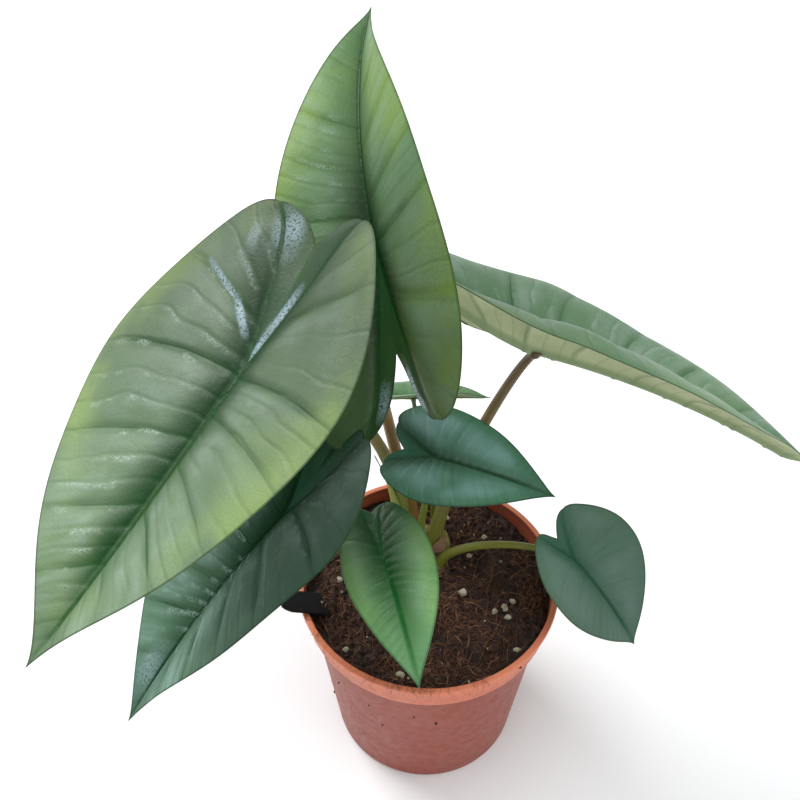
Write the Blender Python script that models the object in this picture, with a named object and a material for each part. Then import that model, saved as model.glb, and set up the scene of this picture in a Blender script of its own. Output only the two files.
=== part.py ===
"""Potted alocasia: eight silver-green peltate leaves on their own petioles, rising from a crown
in bark-brown potting mix, in a tapered 12 cm nursery pot, with a blank plant stake at the rim.

Metres, +Z up. The origin is the centre of the pot's flat base.
"""

import math
import random

import bmesh
import bpy
import numpy as np
from mathutils import Matrix, Vector

# ---- driving dimensions ------------------------------------------------------------------------

GAP = 0.0003                 # clearance between pieces that touch

POT_HEIGHT = 0.105
RIM_RADIUS = 0.060           # outside of the lip
BASE_RADIUS = 0.0455
WALL = 0.0014
LIP_HEIGHT = 0.0022          # rolled lip at the very top
LIP_PROUD = 0.0012
COLLAR_HEIGHT = 0.015        # wider band below the lip
COLLAR_STEP = 0.0028
COLLAR_FOOT = POT_HEIGHT - LIP_HEIGHT - COLLAR_HEIGHT
FLOOR_THICKNESS = 0.0018
FOOT_BEVEL = 0.0020
POT_SEGMENTS = 64
DRAIN_HOLES = 8
DRAIN_RADIUS = 0.0035
DRAIN_CIRCLE = 0.031
DRAIN_SEGMENTS = 12
DRAIN_CUT = 0.02             # length of the cutter that makes a drain hole

SOIL_TOP = 0.0975            # mean level of the potting mix
SOIL_BULGE = 0.0015          # how far it rises towards the middle
SOIL_BUMP = 0.0009
SOIL_WAVES = (140, 120, 260, 170)     # how closely the soft waves follow each other, radians per metre
SOIL_RINGS = 8
SOIL_SEGMENTS = 48

CROWN_CENTRE = (-0.0035, 0.0200)
CROWN_RADII = (0.0175, 0.0185)
CROWN_TOP = 0.1005
CROWN_DEPTH = 0.016
CROWN_SEGMENTS = 24
# widths of the crown and the levels they are at, as shares of its radii and its depth
CROWN_LAYERS = ((0.55, 0.0), (0.85, 0.18), (1.0, 0.45), (1.0, 0.75), (0.93, 0.95), (0.86, 1.0))
CROWN_SHOULDER = 0.9         # levels above this belong to the crown's top
POCKET_RISE = 0.02           # how far the pocket's cutter reaches past the crown's top

BLADE_THICKNESS = 0.0008
LARGE_LEAF = 0.09            # fronts longer than this get the finer mesh
LARGE_STEPS = (18, 4)        # mesh steps along and across half a large blade
SMALL_STEPS = (13, 3)
NOTCH_STEPS = 2              # mesh steps from a lobe's rib to the notch
WELD = 0.00001               # points of a blade closer than this are one

PETIOLE_SIDES = 10
PETIOLE_STEPS = 16
PETIOLE_TAPER = 1.6          # how fast a petiole thins above its foot

SHEATH_THICKNESS = 0.0006
SHEATH_STEPS = 8
SHEATH_SIDES = 6
SHEATH_POINT = 0.93          # share of its spread that a sheath loses by its tip
# which leaf's foot a sheath clasps, its colour, its height as a share of the petiole, the side it
# stands on and how far round it reaches, both in degrees
SHEATHS = {
    "green_sheath": ("leaf_1", "petiole", 0.24, 200, 170),
    "dry_sheath": ("leaf_4", "dry_sheath", 0.12, -60, 120),
}

# crumbs of perlite on the mix: where they lie and their radii
PERLITE = (
    (0.035, -0.013, 0.0021), (0.030, -0.015, 0.0018), (0.039, -0.009, 0.0017),
    (0.036, -0.018, 0.0016), (0.016, -0.005, 0.0020), (0.028, 0.027, 0.0017),
    (0.020, 0.016, 0.0015), (-0.041, 0.002, 0.0017), (-0.037, -0.034, 0.0019),
    (-0.013, -0.047, 0.0017), (0.039, -0.034, 0.0017), (0.010, 0.040, 0.0016),
)
PERLITE_SEED = 7
GRAIN_LUMPS = (0.8, 1.15)    # least and most that a corner of a crumb is pushed in or out
GRAIN_FLATNESS = 0.8
GRAIN_REACH = 1.2            # how far round a crumb the mix is felt for its height, in radii

STAKE_LENGTH = 0.045
STAKE_WIDTH = 0.012
STAKE_THICKNESS = 0.0012
STAKE_AZIMUTH = 195          # where round the rim it lies, degrees
STAKE_SLANT = 28             # rise towards its outer end, degrees
STAKE_OVERHANG = 0.0085      # past the rim
STAKE_CLEAR = 0.0022         # middle of its thickness above the rim's outer edge

# ---- leaves --------------------------------------------------------------------------------------
# at: where the petiole joins the blade. heading, pitch: where the tip points (degrees); roll: turn
# about that line. front, lobe: join to tip, join to lobe ends. half_width: at the widest place.
# lobe_spread: lobe end to the middle line. sinus: join to the notch. taper, shoulder: fullness of
# the outline at tip and lobes. fold, arch: rise beside the midrib and fall to the margin. droop,
# lift: bend of the front and of the lobes. base: foot of the petiole on the crown. lean: how the
# petiole sets off. approach: how it comes in under the blade. foot, neck: petiole radii.

LEAVES = {
    "leaf_1": dict(
        at=(-0.0666, -0.0283, 0.2584), heading=233.2, pitch=-28.0, roll=-17.9,
        front=0.1146, lobe=0.0648, half_width=0.0627, lobe_spread=0.0211, sinus=0.0474,
        taper=1.13, shoulder=0.88, fold=16, arch=10, settle=0.0, droop=-4, lift=11, twist=3,
        sway=0.010, lopsided=0.07, base=(-0.0125, 0.0225), lean=(0.0103, 0.0074, 0.0937),
        approach=(-0.0339, 0.1062, -0.0648), foot=0.0036, neck=0.0016,
    ),
    "leaf_2": dict(
        at=(-0.0228, 0.0370, 0.2642), heading=103.9, pitch=33.7, roll=47.6,
        front=0.1210, lobe=0.0775, half_width=0.0402, lobe_spread=0.0146, sinus=0.0419,
        taper=1.06, shoulder=0.55, fold=38, arch=18, settle=0.0, droop=32, lift=2, twist=-1,
        sway=-0.002, lopsided=0.08, base=(-0.0050, 0.0270), lean=(-0.0058, 0.0198, 0.0266),
        approach=(-0.0149, 0.0091, -0.0388), foot=0.0038, neck=0.0020,
    ),
    "leaf_3": dict(
        at=(-0.0577, -0.0351, 0.1913), heading=213.1, pitch=-35.4, roll=-16.6,
        front=0.1047, lobe=0.0536, half_width=0.0548, lobe_spread=0.0280, sinus=0.0320,
        taper=1.03, shoulder=0.56, fold=20, arch=9, settle=0.0, droop=15, lift=20, twist=4,
        sway=-0.002, lopsided=0.06, base=(-0.0115, 0.0145), lean=(-0.0117, 0.0015, 0.0206),
        approach=(0.0050, 0.0043, -0.0440), foot=0.0032, neck=0.0017,
    ),
    "leaf_4": dict(
        at=(0.0445, 0.0416, 0.2093), heading=-8.5, pitch=-11.4, roll=28.3,
        front=0.1310, lobe=0.0652, half_width=0.0588, lobe_spread=0.0274, sinus=0.0300,
        taper=0.99, shoulder=0.74, fold=40, arch=28, settle=0.51, droop=18, lift=16, twist=-2,
        sway=0.025, lopsided=0.0, base=(0.0040, 0.0220), lean=(-0.0042, 0.0018, 0.0193),
        approach=(-0.0067, 0.0147, -0.0194), foot=0.0040, neck=0.0020,
    ),
    "leaf_5": dict(
        at=(0.0023, 0.0197, 0.1649), heading=-17.1, pitch=-2.6, roll=-13.7,
        front=0.0548, lobe=0.0214, half_width=0.0239, lobe_spread=0.0104, sinus=0.0134,
        taper=1.09, shoulder=0.64, fold=12, arch=12, settle=0.0, droop=17, lift=2, twist=-1,
        sway=-0.001, lopsided=-0.07, base=(-0.0035, 0.0165), lean=(-0.0017, -0.0014, 0.0305),
        approach=(0.0003, 0.0037, -0.0155), foot=0.0022, neck=0.0012,
    ),
    "leaf_6": dict(
        at=(-0.0193, -0.0247, 0.1501), heading=-75.2, pitch=-1.8, roll=-6.8,
        front=0.0552, lobe=0.0290, half_width=0.0192, lobe_spread=0.0046, sinus=0.0235,
        taper=1.08, shoulder=0.72, fold=10, arch=16, settle=0.0, droop=22, lift=4, twist=0,
        sway=0.021, lopsided=-0.06, base=(-0.0045, 0.0095), lean=(-0.0030, -0.0060, 0.0260),
        approach=(0.0015, 0.0080, -0.0120), foot=0.0020, neck=0.0012,
    ),
    "leaf_7": dict(
        at=(0.0634, -0.0093, 0.1303), heading=-37.8, pitch=-32.7, roll=-4.0,
        front=0.0487, lobe=0.0213, half_width=0.0273, lobe_spread=0.0094, sinus=0.0115,
        taper=1.11, shoulder=0.88, fold=22, arch=5, settle=0.0, droop=21, lift=13, twist=-2,
        sway=0.011, lopsided=-0.02, base=(0.0060, 0.0115), lean=(0.0045, -0.0043, 0.0220),
        approach=(-0.0159, 0.0106, 0.0024), foot=0.0024, neck=0.0014,
    ),
    "leaf_8": dict(
        at=(-0.0068, 0.0611, 0.1615), heading=2.0, pitch=4.0, roll=32.0,
        front=0.0360, lobe=0.0160, half_width=0.0180, lobe_spread=0.0080, sinus=0.0070,
        taper=1.05, shoulder=0.60, fold=24, arch=12, settle=0.0, droop=10, lift=5, twist=0,
        sway=0.0, lopsided=0.0, base=(0.0035, 0.0315), lean=(-0.0000, 0.0100, 0.0300),
        approach=(0.0020, -0.0060, -0.0150), foot=0.0018, neck=0.0010,
    ),
}

DRIP_TIP = 0.5               # how much the last stretch of a tip is pinched
DRIP_REACH = 0.07
NOTCH = 0.25                 # how far the notch's sides bow
NOTCH_SHARE = 0.45           # share of a lobe's length that faces the other lobe without a notch
RIB_CURVE = 1.15             # how the lobe ribs bend away from the middle line
MARGIN_LAG = 1.12            # how far mesh lines slant back on their way to the margin
LOBE_ROUND = 0.36            # share of a lobe over which its pointed end is rounded
LOBE_BLUNT = 0.115           # how far that point is pushed in, as a share of the lobe
LOBE_STRETCH = 0.065         # how far the whole lobe runs back to make up for it
LOBE_SPLAY = 0.25            # and how far the rounding leans outwards
SETTLE_EASE = 0.08           # share of the front over which the sides start to settle

COLOURS = {
    "terracotta_plastic": ((0.42, 0.12, 0.075), 0.45),
    "potting_mix": ((0.030, 0.017, 0.012), 0.95),
    "perlite": ((0.55, 0.53, 0.44), 0.85),
    "crown": ((0.20, 0.17, 0.05), 0.6),
    "silver_leaf": ((0.20, 0.33, 0.17), 0.38),
    "deep_leaf": ((0.05, 0.15, 0.09), 0.36),
    "petiole": ((0.22, 0.20, 0.045), 0.45),
    "dry_sheath": ((0.48, 0.30, 0.20), 0.7),
    "black_plastic": ((0.010, 0.011, 0.015), 0.4),
}


# ---- scene helpers -------------------------------------------------------------------------------

def clear_scene():
    for obj in list(bpy.data.objects):
        bpy.data.objects.remove(obj, do_unlink=True)


def material(name, key):
    colour, roughness = COLOURS[key]
    mat = bpy.data.materials.new(name)
    mat.use_nodes = True
    shader = mat.node_tree.nodes["Principled BSDF"]
    shader.inputs["Base Color"].default_value = (*colour, 1.0)
    shader.inputs["Roughness"].default_value = roughness
    shader.inputs["Metallic"].default_value = 0.0
    mat.diffuse_color = (*colour, 1.0)
    return mat


def add_object(name, bm, key, smooth=True):
    """Turn a bmesh into a named object with its own material."""
    bmesh.ops.recalc_face_normals(bm, faces=bm.faces)
    mesh = bpy.data.meshes.new(name)
    bm.to_mesh(mesh)
    bm.free()
    if smooth:
        mesh.shade_smooth()
        mesh.set_sharp_from_angle(angle=math.radians(40))
    mesh.materials.append(material(name + "_material", key))
    obj = bpy.data.objects.new(name, mesh)
    bpy.context.scene.collection.objects.link(obj)
    return obj


def boolean_cut(target, cutter, name):
    cutter.hide_render = True
    cutter.display_type = "WIRE"
    cut = target.modifiers.new(name, "BOOLEAN")
    cut.operation = "DIFFERENCE"
    cut.solver = "EXACT"
    cut.object = cutter


def skin_rings(bm, rings, closed):
    """Skin a stack of rings of vertices; a ring of one vertex is a point. closed caps both ends."""
    for low, high in zip(rings, rings[1:]):
        count = max(len(low), len(high))
        for i in range(count):
            j = (i + 1) % count
            corners = (low[i % len(low)], low[j % len(low)], high[j % len(high)], high[i % len(high)])
            bm.faces.new(list(dict.fromkeys(corners)))
    if closed:
        bm.faces.new(list(reversed(rings[0])))
        bm.faces.new(rings[-1])


def ring_solid(profile, segments):
    """A closed turned body from a profile of (radius, z) points that starts and ends on the axis."""
    bm = bmesh.new()
    rings = []
    for radius, z in profile:
        if radius == 0:
            rings.append([bm.verts.new((0, 0, z))])
            continue
        ring = []
        for i in range(segments):
            a = 2 * math.pi * i / segments
            ring.append(bm.verts.new((radius * math.cos(a), radius * math.sin(a), z)))
        rings.append(ring)
    skin_rings(bm, rings, closed=False)
    return bm


# ---- pot, soil, crown ----------------------------------------------------------------------------

def wall_radius(z):
    """Outside of the pot's tapered wall: it steps out to the collar and stays there to the lip."""
    slope = (RIM_RADIUS - LIP_PROUD - COLLAR_STEP - BASE_RADIUS) / POT_HEIGHT
    step = min(max(z - COLLAR_FOOT, 0.0), COLLAR_STEP)
    return BASE_RADIUS + slope * z + step


def inner_radius(z):
    return wall_radius(z) - WALL


def pot_profile():
    lip_foot = POT_HEIGHT - LIP_HEIGHT
    lip_round = LIP_HEIGHT / 3
    collar_top_step = COLLAR_FOOT + COLLAR_STEP
    return [
        (0, 0),
        (BASE_RADIUS - FOOT_BEVEL, 0),
        (BASE_RADIUS - FOOT_BEVEL * 0.3, FOOT_BEVEL * 0.3),
        (wall_radius(FOOT_BEVEL), FOOT_BEVEL),
        (wall_radius(COLLAR_FOOT), COLLAR_FOOT),
        (wall_radius(collar_top_step), collar_top_step),
        (wall_radius(lip_foot), lip_foot),
        (RIM_RADIUS - lip_round * 0.3, lip_foot + lip_round * 0.3),
        (RIM_RADIUS, lip_foot + lip_round),
        (RIM_RADIUS, POT_HEIGHT - lip_round),
        (RIM_RADIUS - lip_round, POT_HEIGHT),
        (inner_radius(POT_HEIGHT) + lip_round, POT_HEIGHT),
        (inner_radius(POT_HEIGHT), POT_HEIGHT - lip_round),
        (inner_radius(collar_top_step), collar_top_step),
        (inner_radius(COLLAR_FOOT), COLLAR_FOOT),
        (inner_radius(FLOOR_THICKNESS), FLOOR_THICKNESS),
        (0, FLOOR_THICKNESS),
    ]


def build_pot():
    pot = add_object("pot", ring_solid(pot_profile(), POT_SEGMENTS), "terracotta_plastic")
    bm = bmesh.new()
    for i in range(DRAIN_HOLES):
        a = 2 * math.pi * (i + 0.5) / DRAIN_HOLES
        made = bmesh.ops.create_cone(
            bm, cap_ends=True, segments=DRAIN_SEGMENTS, radius1=DRAIN_RADIUS,
            radius2=DRAIN_RADIUS, depth=DRAIN_CUT)
        place = Vector((DRAIN_CIRCLE * math.cos(a), DRAIN_CIRCLE * math.sin(a), 0.0))
        bmesh.ops.translate(bm, verts=made["verts"], vec=place)
    boolean_cut(pot, add_object("drain_hole_cutter", bm, "terracotta_plastic"), "drain_holes")


def soil_height(x, y):
    """Lumpy top of the potting mix: long soft waves, a little higher in the middle."""
    r = math.hypot(x, y) / inner_radius(SOIL_TOP)
    long_x, long_y, short_y, short_x = SOIL_WAVES
    waves = math.sin(long_x * x + 1.0) * math.cos(long_y * y + 0.4)
    waves += 0.6 * math.sin(short_y * y - short_x * x)
    return SOIL_TOP + SOIL_BULGE * (1 - r * r) + SOIL_BUMP * waves * (1 - r ** 6)


def build_soil():
    bm = bmesh.new()
    floor = FLOOR_THICKNESS + GAP

    def ring(radius, z_of):
        verts = []
        for i in range(SOIL_SEGMENTS):
            a = 2 * math.pi * i / SOIL_SEGMENTS
            x, y = radius * math.cos(a), radius * math.sin(a)
            verts.append(bm.verts.new((x, y, z_of(x, y))))
        return verts

    fit = 1 / math.cos(math.pi / POT_SEGMENTS)
    side = []
    for z in (floor, COLLAR_FOOT, COLLAR_FOOT + COLLAR_STEP, SOIL_TOP - 2 * SOIL_BUMP):
        side.append(ring((inner_radius(z) - GAP) / fit, lambda x, y, z=z: z))
    top = []
    edge_radius = (inner_radius(SOIL_TOP) - GAP) / fit
    for k in range(SOIL_RINGS):
        top.append(ring(edge_radius * (1 - k / SOIL_RINGS), soil_height))
    under = [bm.verts.new((0, 0, floor))]
    centre = [bm.verts.new((0, 0, soil_height(0, 0)))]
    skin_rings(bm, [under] + side + top + [centre], closed=False)
    soil = add_object("soil", bm, "potting_mix")
    boolean_cut(soil, build_crown_body("crown_pocket_cutter", GAP, POCKET_RISE), "crown_pocket")
    boolean_cut(soil, build_stake_body("stake_slot_cutter", GAP), "stake_slot")


def build_crown_body(name, grow, rise):
    """The short swollen stem that carries the petioles: a domed plug. grow and rise widen it and
    stretch its top, to cut the pocket it stands in."""
    bm = bmesh.new()
    rings = []
    for scale, level in CROWN_LAYERS:
        z = CROWN_TOP - CROWN_DEPTH * (1 - level)
        z += rise if level > CROWN_SHOULDER else 0.0
        z -= grow if level == 0.0 else 0.0
        ring = []
        wide = 1.0 if rise and level > CROWN_SHOULDER else scale
        for i in range(CROWN_SEGMENTS):
            a = 2 * math.pi * i / CROWN_SEGMENTS
            x = CROWN_CENTRE[0] + (CROWN_RADII[0] * wide + grow) * math.cos(a)
            y = CROWN_CENTRE[1] + (CROWN_RADII[1] * wide + grow) * math.sin(a)
            ring.append(bm.verts.new((x, y, z)))
        rings.append(ring)
    skin_rings(bm, rings, closed=True)
    return add_object(name, bm, "crown")


# ---- leaves --------------------------------------------------------------------------------------

def outer_margin(p, leaf):
    """Half the outline, from the tip (p = 0) round the side to the lobe's end (p = 1)."""
    a, b = leaf["taper"], leaf["shoulder"]
    peak = a / (a + b)
    full = peak ** a * (1 - peak) ** b
    pinch = 1 - DRIP_TIP * np.exp(-p / DRIP_REACH)
    bulge = leaf["half_width"] - leaf["lobe_spread"] * peak ** 1.5
    x = leaf["lobe_spread"] * p ** 1.5 + bulge * p ** a * (1 - p) ** b / full * pinch
    return x, leaf["front"] - (leaf["front"] + leaf["lobe"]) * p


def inner_margin(q, leaf):
    """The notch's side, from the lobe's end (q = 0) to the notch's point (q = 1)."""
    x = leaf["lobe_spread"] * (1 - q) * (1 - NOTCH * np.sqrt(q))
    return x, -leaf["lobe"] + (leaf["lobe"] - leaf["sinus"]) * q


def round_lobe(x, y, leaf):
    """Blunts the lobe ends of the flat blade."""
    lobe = leaf["lobe"]
    back = np.clip(-y / lobe, 0, 1)
    away = np.hypot(np.abs(x) - leaf["lobe_spread"], y + lobe)
    push = LOBE_BLUNT * lobe * np.clip(1 - away / (LOBE_ROUND * lobe), 0, 1) ** 2
    return x + LOBE_SPLAY * np.sign(x) * push, y + push - LOBE_STRETCH * lobe * back ** 2


def curve_blade(x, y, leaf):
    """Flat blade coordinates to the folded, arched and bent blade, in the blade's own frame."""
    x, y = round_lobe(x, y, leaf)
    front = np.clip(y / leaf["front"], 0, 1)
    back = np.clip(-y / leaf["lobe"], 0, 1)
    across = np.abs(x) / leaf["half_width"]
    x = x * (1 + leaf["lopsided"] * np.sign(x))
    fold = math.tan(math.radians(leaf["fold"]))
    arch = math.tan(math.radians(leaf["arch"]))
    ease = math.hypot(1, SETTLE_EASE) - SETTLE_EASE
    settled = leaf["settle"] * (np.hypot(front, SETTLE_EASE) - SETTLE_EASE) / ease
    z = leaf["half_width"] * across * (fold - arch * across - settled)
    turn = math.radians(leaf["twist"]) * y / leaf["front"]
    x, z = x * np.cos(turn) - z * np.sin(turn), x * np.sin(turn) + z * np.cos(turn)
    x = x + leaf["sway"] * leaf["front"] * np.sign(y) * (y / leaf["front"]) ** 2
    # the middle line is an arc of one curvature in front of the join and another behind it
    bend = math.radians(leaf["droop"]) * front + math.radians(leaf["lift"]) * back
    half = bend / 2
    chord = y * np.sinc(half / math.pi)
    along = chord * np.cos(half) + z * np.sin(bend)
    height = -chord * np.sin(half) + z * np.cos(bend)
    return np.stack([x, along, height], -1)


def blade_frame(leaf):
    """Unit vectors of the blade: to its right, to its tip, and up out of its upper face."""
    h, p, r = (math.radians(leaf[k]) for k in ("heading", "pitch", "roll"))
    tip = np.array([math.cos(p) * math.cos(h), math.cos(p) * math.sin(h), math.sin(p)])
    up = np.array([-math.sin(p) * math.cos(h), -math.sin(p) * math.sin(h), math.cos(p)])
    side = np.cross(tip, up)
    right = side * math.cos(r) + up * math.sin(r)
    return np.stack([right, tip, up * math.cos(r) - side * math.sin(r)])


def blade_points(x, y, leaf):
    return curve_blade(x, y, leaf) @ blade_frame(leaf) + np.array(leaf["at"])


def blade_grids(leaf, along, across):
    """The right half of the flat blade as two grids: one out to the margin, one in to the notch.
    Both start on the line from tip to join to lobe end, the line the main ribs follow."""
    split = leaf["front"] / (leaf["front"] + leaf["lobe"])
    front_steps = round(along * split)
    u = np.concatenate([
        np.linspace(0, split, front_steps + 1),
        np.linspace(split, 1, along - front_steps + 1)[1:]])
    lobe = np.clip((u - split) / (1 - split), 0, 1)
    rib_x = leaf["lobe_spread"] * lobe ** RIB_CURVE
    rib_y = np.where(u < split, leaf["front"] * (1 - u / split), -leaf["lobe"] * lobe)
    margin_x, margin_y = outer_margin(u ** MARGIN_LAG, leaf)
    v = np.linspace(0, 1, across + 1)[None, :]
    outer = (rib_x[:, None] * (1 - v) + margin_x[:, None] * v,
             rib_y[:, None] * (1 - v) + margin_y[:, None] * v)
    t = lobe[front_steps:]
    q = np.clip((t - NOTCH_SHARE) / (1 - NOTCH_SHARE), 0, 1)
    notch_x, notch_y = inner_margin(1 - q, leaf)
    notch_y = np.where(t < NOTCH_SHARE, -leaf["sinus"] * t / NOTCH_SHARE, notch_y)
    w = np.linspace(0, 1, NOTCH_STEPS + 1)[None, :]
    inner = (rib_x[front_steps:, None] * (1 - w) + notch_x[:, None] * w,
             rib_y[front_steps:, None] * (1 - w) + notch_y[:, None] * w)
    return outer, inner


def build_blade(name, leaf):
    large = leaf["front"] > LARGE_LEAF
    along, across = LARGE_STEPS if large else SMALL_STEPS
    outer, inner = blade_grids(leaf, along, across)
    bm = bmesh.new()
    for mirror in (1, -1):
        for xs, ys in (outer, inner):
            points = blade_points(mirror * xs, ys, leaf)
            rows = [[bm.verts.new(p) for p in row] for row in points]
            for a, b in zip(rows, rows[1:]):
                for i in range(len(a) - 1):
                    bm.faces.new((a[i], a[i + 1], b[i + 1], b[i]))
    bmesh.ops.remove_doubles(bm, verts=bm.verts, dist=WELD)
    bmesh.ops.dissolve_degenerate(bm, edges=bm.edges, dist=WELD)
    bmesh.ops.recalc_face_normals(bm, faces=bm.faces)
    mesh = bpy.data.meshes.new(name)
    bm.to_mesh(mesh)
    bm.free()
    mesh.shade_smooth()
    mesh.materials.append(material(name + "_material", "silver_leaf" if large else "deep_leaf"))
    blade = bpy.data.objects.new(name, mesh)
    bpy.context.scene.collection.objects.link(blade)
    thick = blade.modifiers.new("thickness", "SOLIDIFY")
    thick.thickness = BLADE_THICKNESS
    thick.offset = 0.0
    thick.use_rim = True
    return blade


def bezier(p0, p1, p2, p3, t):
    s = 1 - t
    return p0 * s ** 3 + p1 * 3 * s * s * t + p2 * 3 * s * t * t + p3 * t ** 3


def petiole_centre(leaf, t):
    """Middle line of a petiole, from its foot (t = 0) to its neck (t = 1)."""
    normal = Vector(blade_frame(leaf)[2])
    approach = Vector(leaf["approach"])
    tilt = approach.cross(normal).length / approach.length
    foot = Vector((*leaf["base"], CROWN_TOP + GAP))
    neck = Vector(leaf["at"]) - normal * (BLADE_THICKNESS / 2 + 2 * GAP + leaf["neck"] * tilt)
    return bezier(foot, foot + Vector(leaf["lean"]), neck + approach, neck, t)


def petiole_radius(leaf, t):
    return leaf["neck"] + (leaf["foot"] - leaf["neck"]) * (1 - t) ** PETIOLE_TAPER


def build_petiole(name, leaf):
    """A stalk from the crown to the underside of its blade, thickest at the foot."""
    bm = bmesh.new()
    rings = []
    for k in range(PETIOLE_STEPS + 1):
        t = k / PETIOLE_STEPS
        ahead = petiole_centre(leaf, min(t + 0.01, 1)) - petiole_centre(leaf, max(t - 0.01, 0))
        ahead = Vector((0, 0, 1)) if k == 0 else ahead.normalized()
        side = ahead.cross(Vector((0, 1, 0))).normalized() * petiole_radius(leaf, t)
        other = ahead.cross(side)
        ring = []
        for i in range(PETIOLE_SIDES):
            a = 2 * math.pi * i / PETIOLE_SIDES
            offset = side * math.cos(a) + other * math.sin(a)
            ring.append(bm.verts.new(petiole_centre(leaf, t) + offset))
        rings.append(ring)
    skin_rings(bm, rings, closed=True)
    return add_object(name, bm, "petiole")


def build_sheath(name, leaf, key, height, middle, spread):
    """A thin pointed scale that clasps the foot of a petiole. middle is the side it stands on and
    spread how far round it reaches, both in degrees."""
    bm = bmesh.new()
    rings = []
    for k in range(SHEATH_STEPS + 1):
        level = k / SHEATH_STEPS
        t = level * height
        centre = petiole_centre(leaf, t)
        centre.z = max(centre.z, CROWN_TOP + GAP)
        half = math.radians(spread) / 2 * (1 - SHEATH_POINT * level ** 2)
        inner = petiole_radius(leaf, 0) + 2 * GAP
        ring = []
        for radius, order in ((inner, 1), (inner + SHEATH_THICKNESS, -1)):
            for i in range(SHEATH_SIDES + 1):
                a = math.radians(middle) + order * half * (2 * i / SHEATH_SIDES - 1)
                offset = Vector((math.cos(a), math.sin(a), 0)) * radius
                ring.append(bm.verts.new(centre + offset))
        rings.append(ring)
    skin_rings(bm, rings, closed=True)
    return add_object(name, bm, key)


# ---- small things on the mix -----------------------------------------------------------------------

def build_grain(name, x, y, radius, rng):
    """A crumb of perlite: a lumpy little ball lying on the mix."""
    bm = bmesh.new()
    bmesh.ops.create_icosphere(bm, subdivisions=1, radius=radius)
    for vert in bm.verts:
        vert.co *= rng.uniform(*GRAIN_LUMPS)
        vert.co.z *= GRAIN_FLATNESS
    lowest = min(vert.co.z for vert in bm.verts)
    reach = radius * GRAIN_REACH
    ground = max(soil_height(x + reach * math.cos(a), y + reach * math.sin(a)) for a in range(7))
    ground = max(ground, soil_height(x, y)) + 2 * GAP
    bmesh.ops.translate(bm, verts=bm.verts, vec=(x, y, ground - lowest))
    return add_object(name, bm, "perlite", smooth=False)


def build_stake_body(name, grow):
    """A flat blank stake pushed in at a slant, so that it lies over the pot's rim."""
    bm = bmesh.new()
    bmesh.ops.create_cube(bm, size=1.0)
    size = (STAKE_LENGTH + 2 * grow, STAKE_WIDTH + 2 * grow, STAKE_THICKNESS + 2 * grow)
    bmesh.ops.scale(bm, verts=bm.verts, vec=size)
    out = math.radians(STAKE_AZIMUTH)
    slant = math.radians(STAKE_SLANT)
    turn = Matrix.Rotation(out, 4, "Z") @ Matrix.Rotation(-slant, 4, "Y")
    outer_end = STAKE_OVERHANG / math.cos(slant)
    over_rim = Vector((
        RIM_RADIUS * math.cos(out), RIM_RADIUS * math.sin(out), POT_HEIGHT + STAKE_CLEAR))
    middle = over_rim + turn.to_3x3() @ Vector((outer_end - STAKE_LENGTH / 2, 0, 0))
    bmesh.ops.transform(bm, verts=bm.verts, matrix=Matrix.Translation(middle) @ turn)
    return add_object(name, bm, "black_plastic", smooth=False)


# ---- assembly --------------------------------------------------------------------------------------

def main():
    clear_scene()
    build_pot()
    build_soil()
    build_crown_body("crown", 0.0, 0.0)
    build_stake_body("plant_stake", 0.0)
    for name, leaf in LEAVES.items():
        build_blade(name + "_blade", leaf)
        build_petiole(name + "_petiole", leaf)
    for name, (leaf, key, height, middle, spread) in SHEATHS.items():
        build_sheath(name, LEAVES[leaf], key, height, middle, spread)
    rng = random.Random(PERLITE_SEED)
    for i, (x, y, radius) in enumerate(PERLITE):
        build_grain(f"perlite_{i + 1:02d}", x, y, radius, rng)


main()
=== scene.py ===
"""The looks of a potted alocasia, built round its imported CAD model.

Every piece is made in metres in the CAD model's own frame: origin at the middle of the pot's base,
+Z up, the front towards -Y. The leaf table and the leaf maths are those of the CAD model, carried
on to a fine mesh with veins, quilting and a rounded margin.
"""

import random
from math import copysign, cos, exp, hypot, pi, radians, sin, sqrt, tan

import bmesh
import bpy
import numpy as np
from mathutils import Matrix, Vector, noise


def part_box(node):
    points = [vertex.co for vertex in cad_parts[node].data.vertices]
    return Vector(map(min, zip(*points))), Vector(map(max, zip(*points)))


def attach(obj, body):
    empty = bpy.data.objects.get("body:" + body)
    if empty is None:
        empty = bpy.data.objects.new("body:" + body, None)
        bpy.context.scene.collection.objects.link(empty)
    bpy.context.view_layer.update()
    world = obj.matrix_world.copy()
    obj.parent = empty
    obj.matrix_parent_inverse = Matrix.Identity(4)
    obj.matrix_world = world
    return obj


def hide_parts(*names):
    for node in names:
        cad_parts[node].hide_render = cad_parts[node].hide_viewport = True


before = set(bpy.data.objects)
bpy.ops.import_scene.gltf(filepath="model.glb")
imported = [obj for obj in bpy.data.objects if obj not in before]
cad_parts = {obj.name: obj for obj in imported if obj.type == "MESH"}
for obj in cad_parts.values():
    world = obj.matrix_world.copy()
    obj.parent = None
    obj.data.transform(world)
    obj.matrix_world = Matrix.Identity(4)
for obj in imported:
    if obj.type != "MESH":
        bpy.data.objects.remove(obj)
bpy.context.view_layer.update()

MM = 0.001

# ---- measures from the frame

POT_LOW, POT_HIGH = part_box("pot")
RIM_RADIUS = (POT_HIGH.x - POT_LOW.x) / 2
POT_HEIGHT = POT_HIGH.z
SOIL_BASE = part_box("soil")[0].z
CROWN_LOW, CROWN_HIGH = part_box("crown")
CROWN_TOP = CROWN_HIGH.z

# ---- driving dimensions, as in the CAD model

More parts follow.
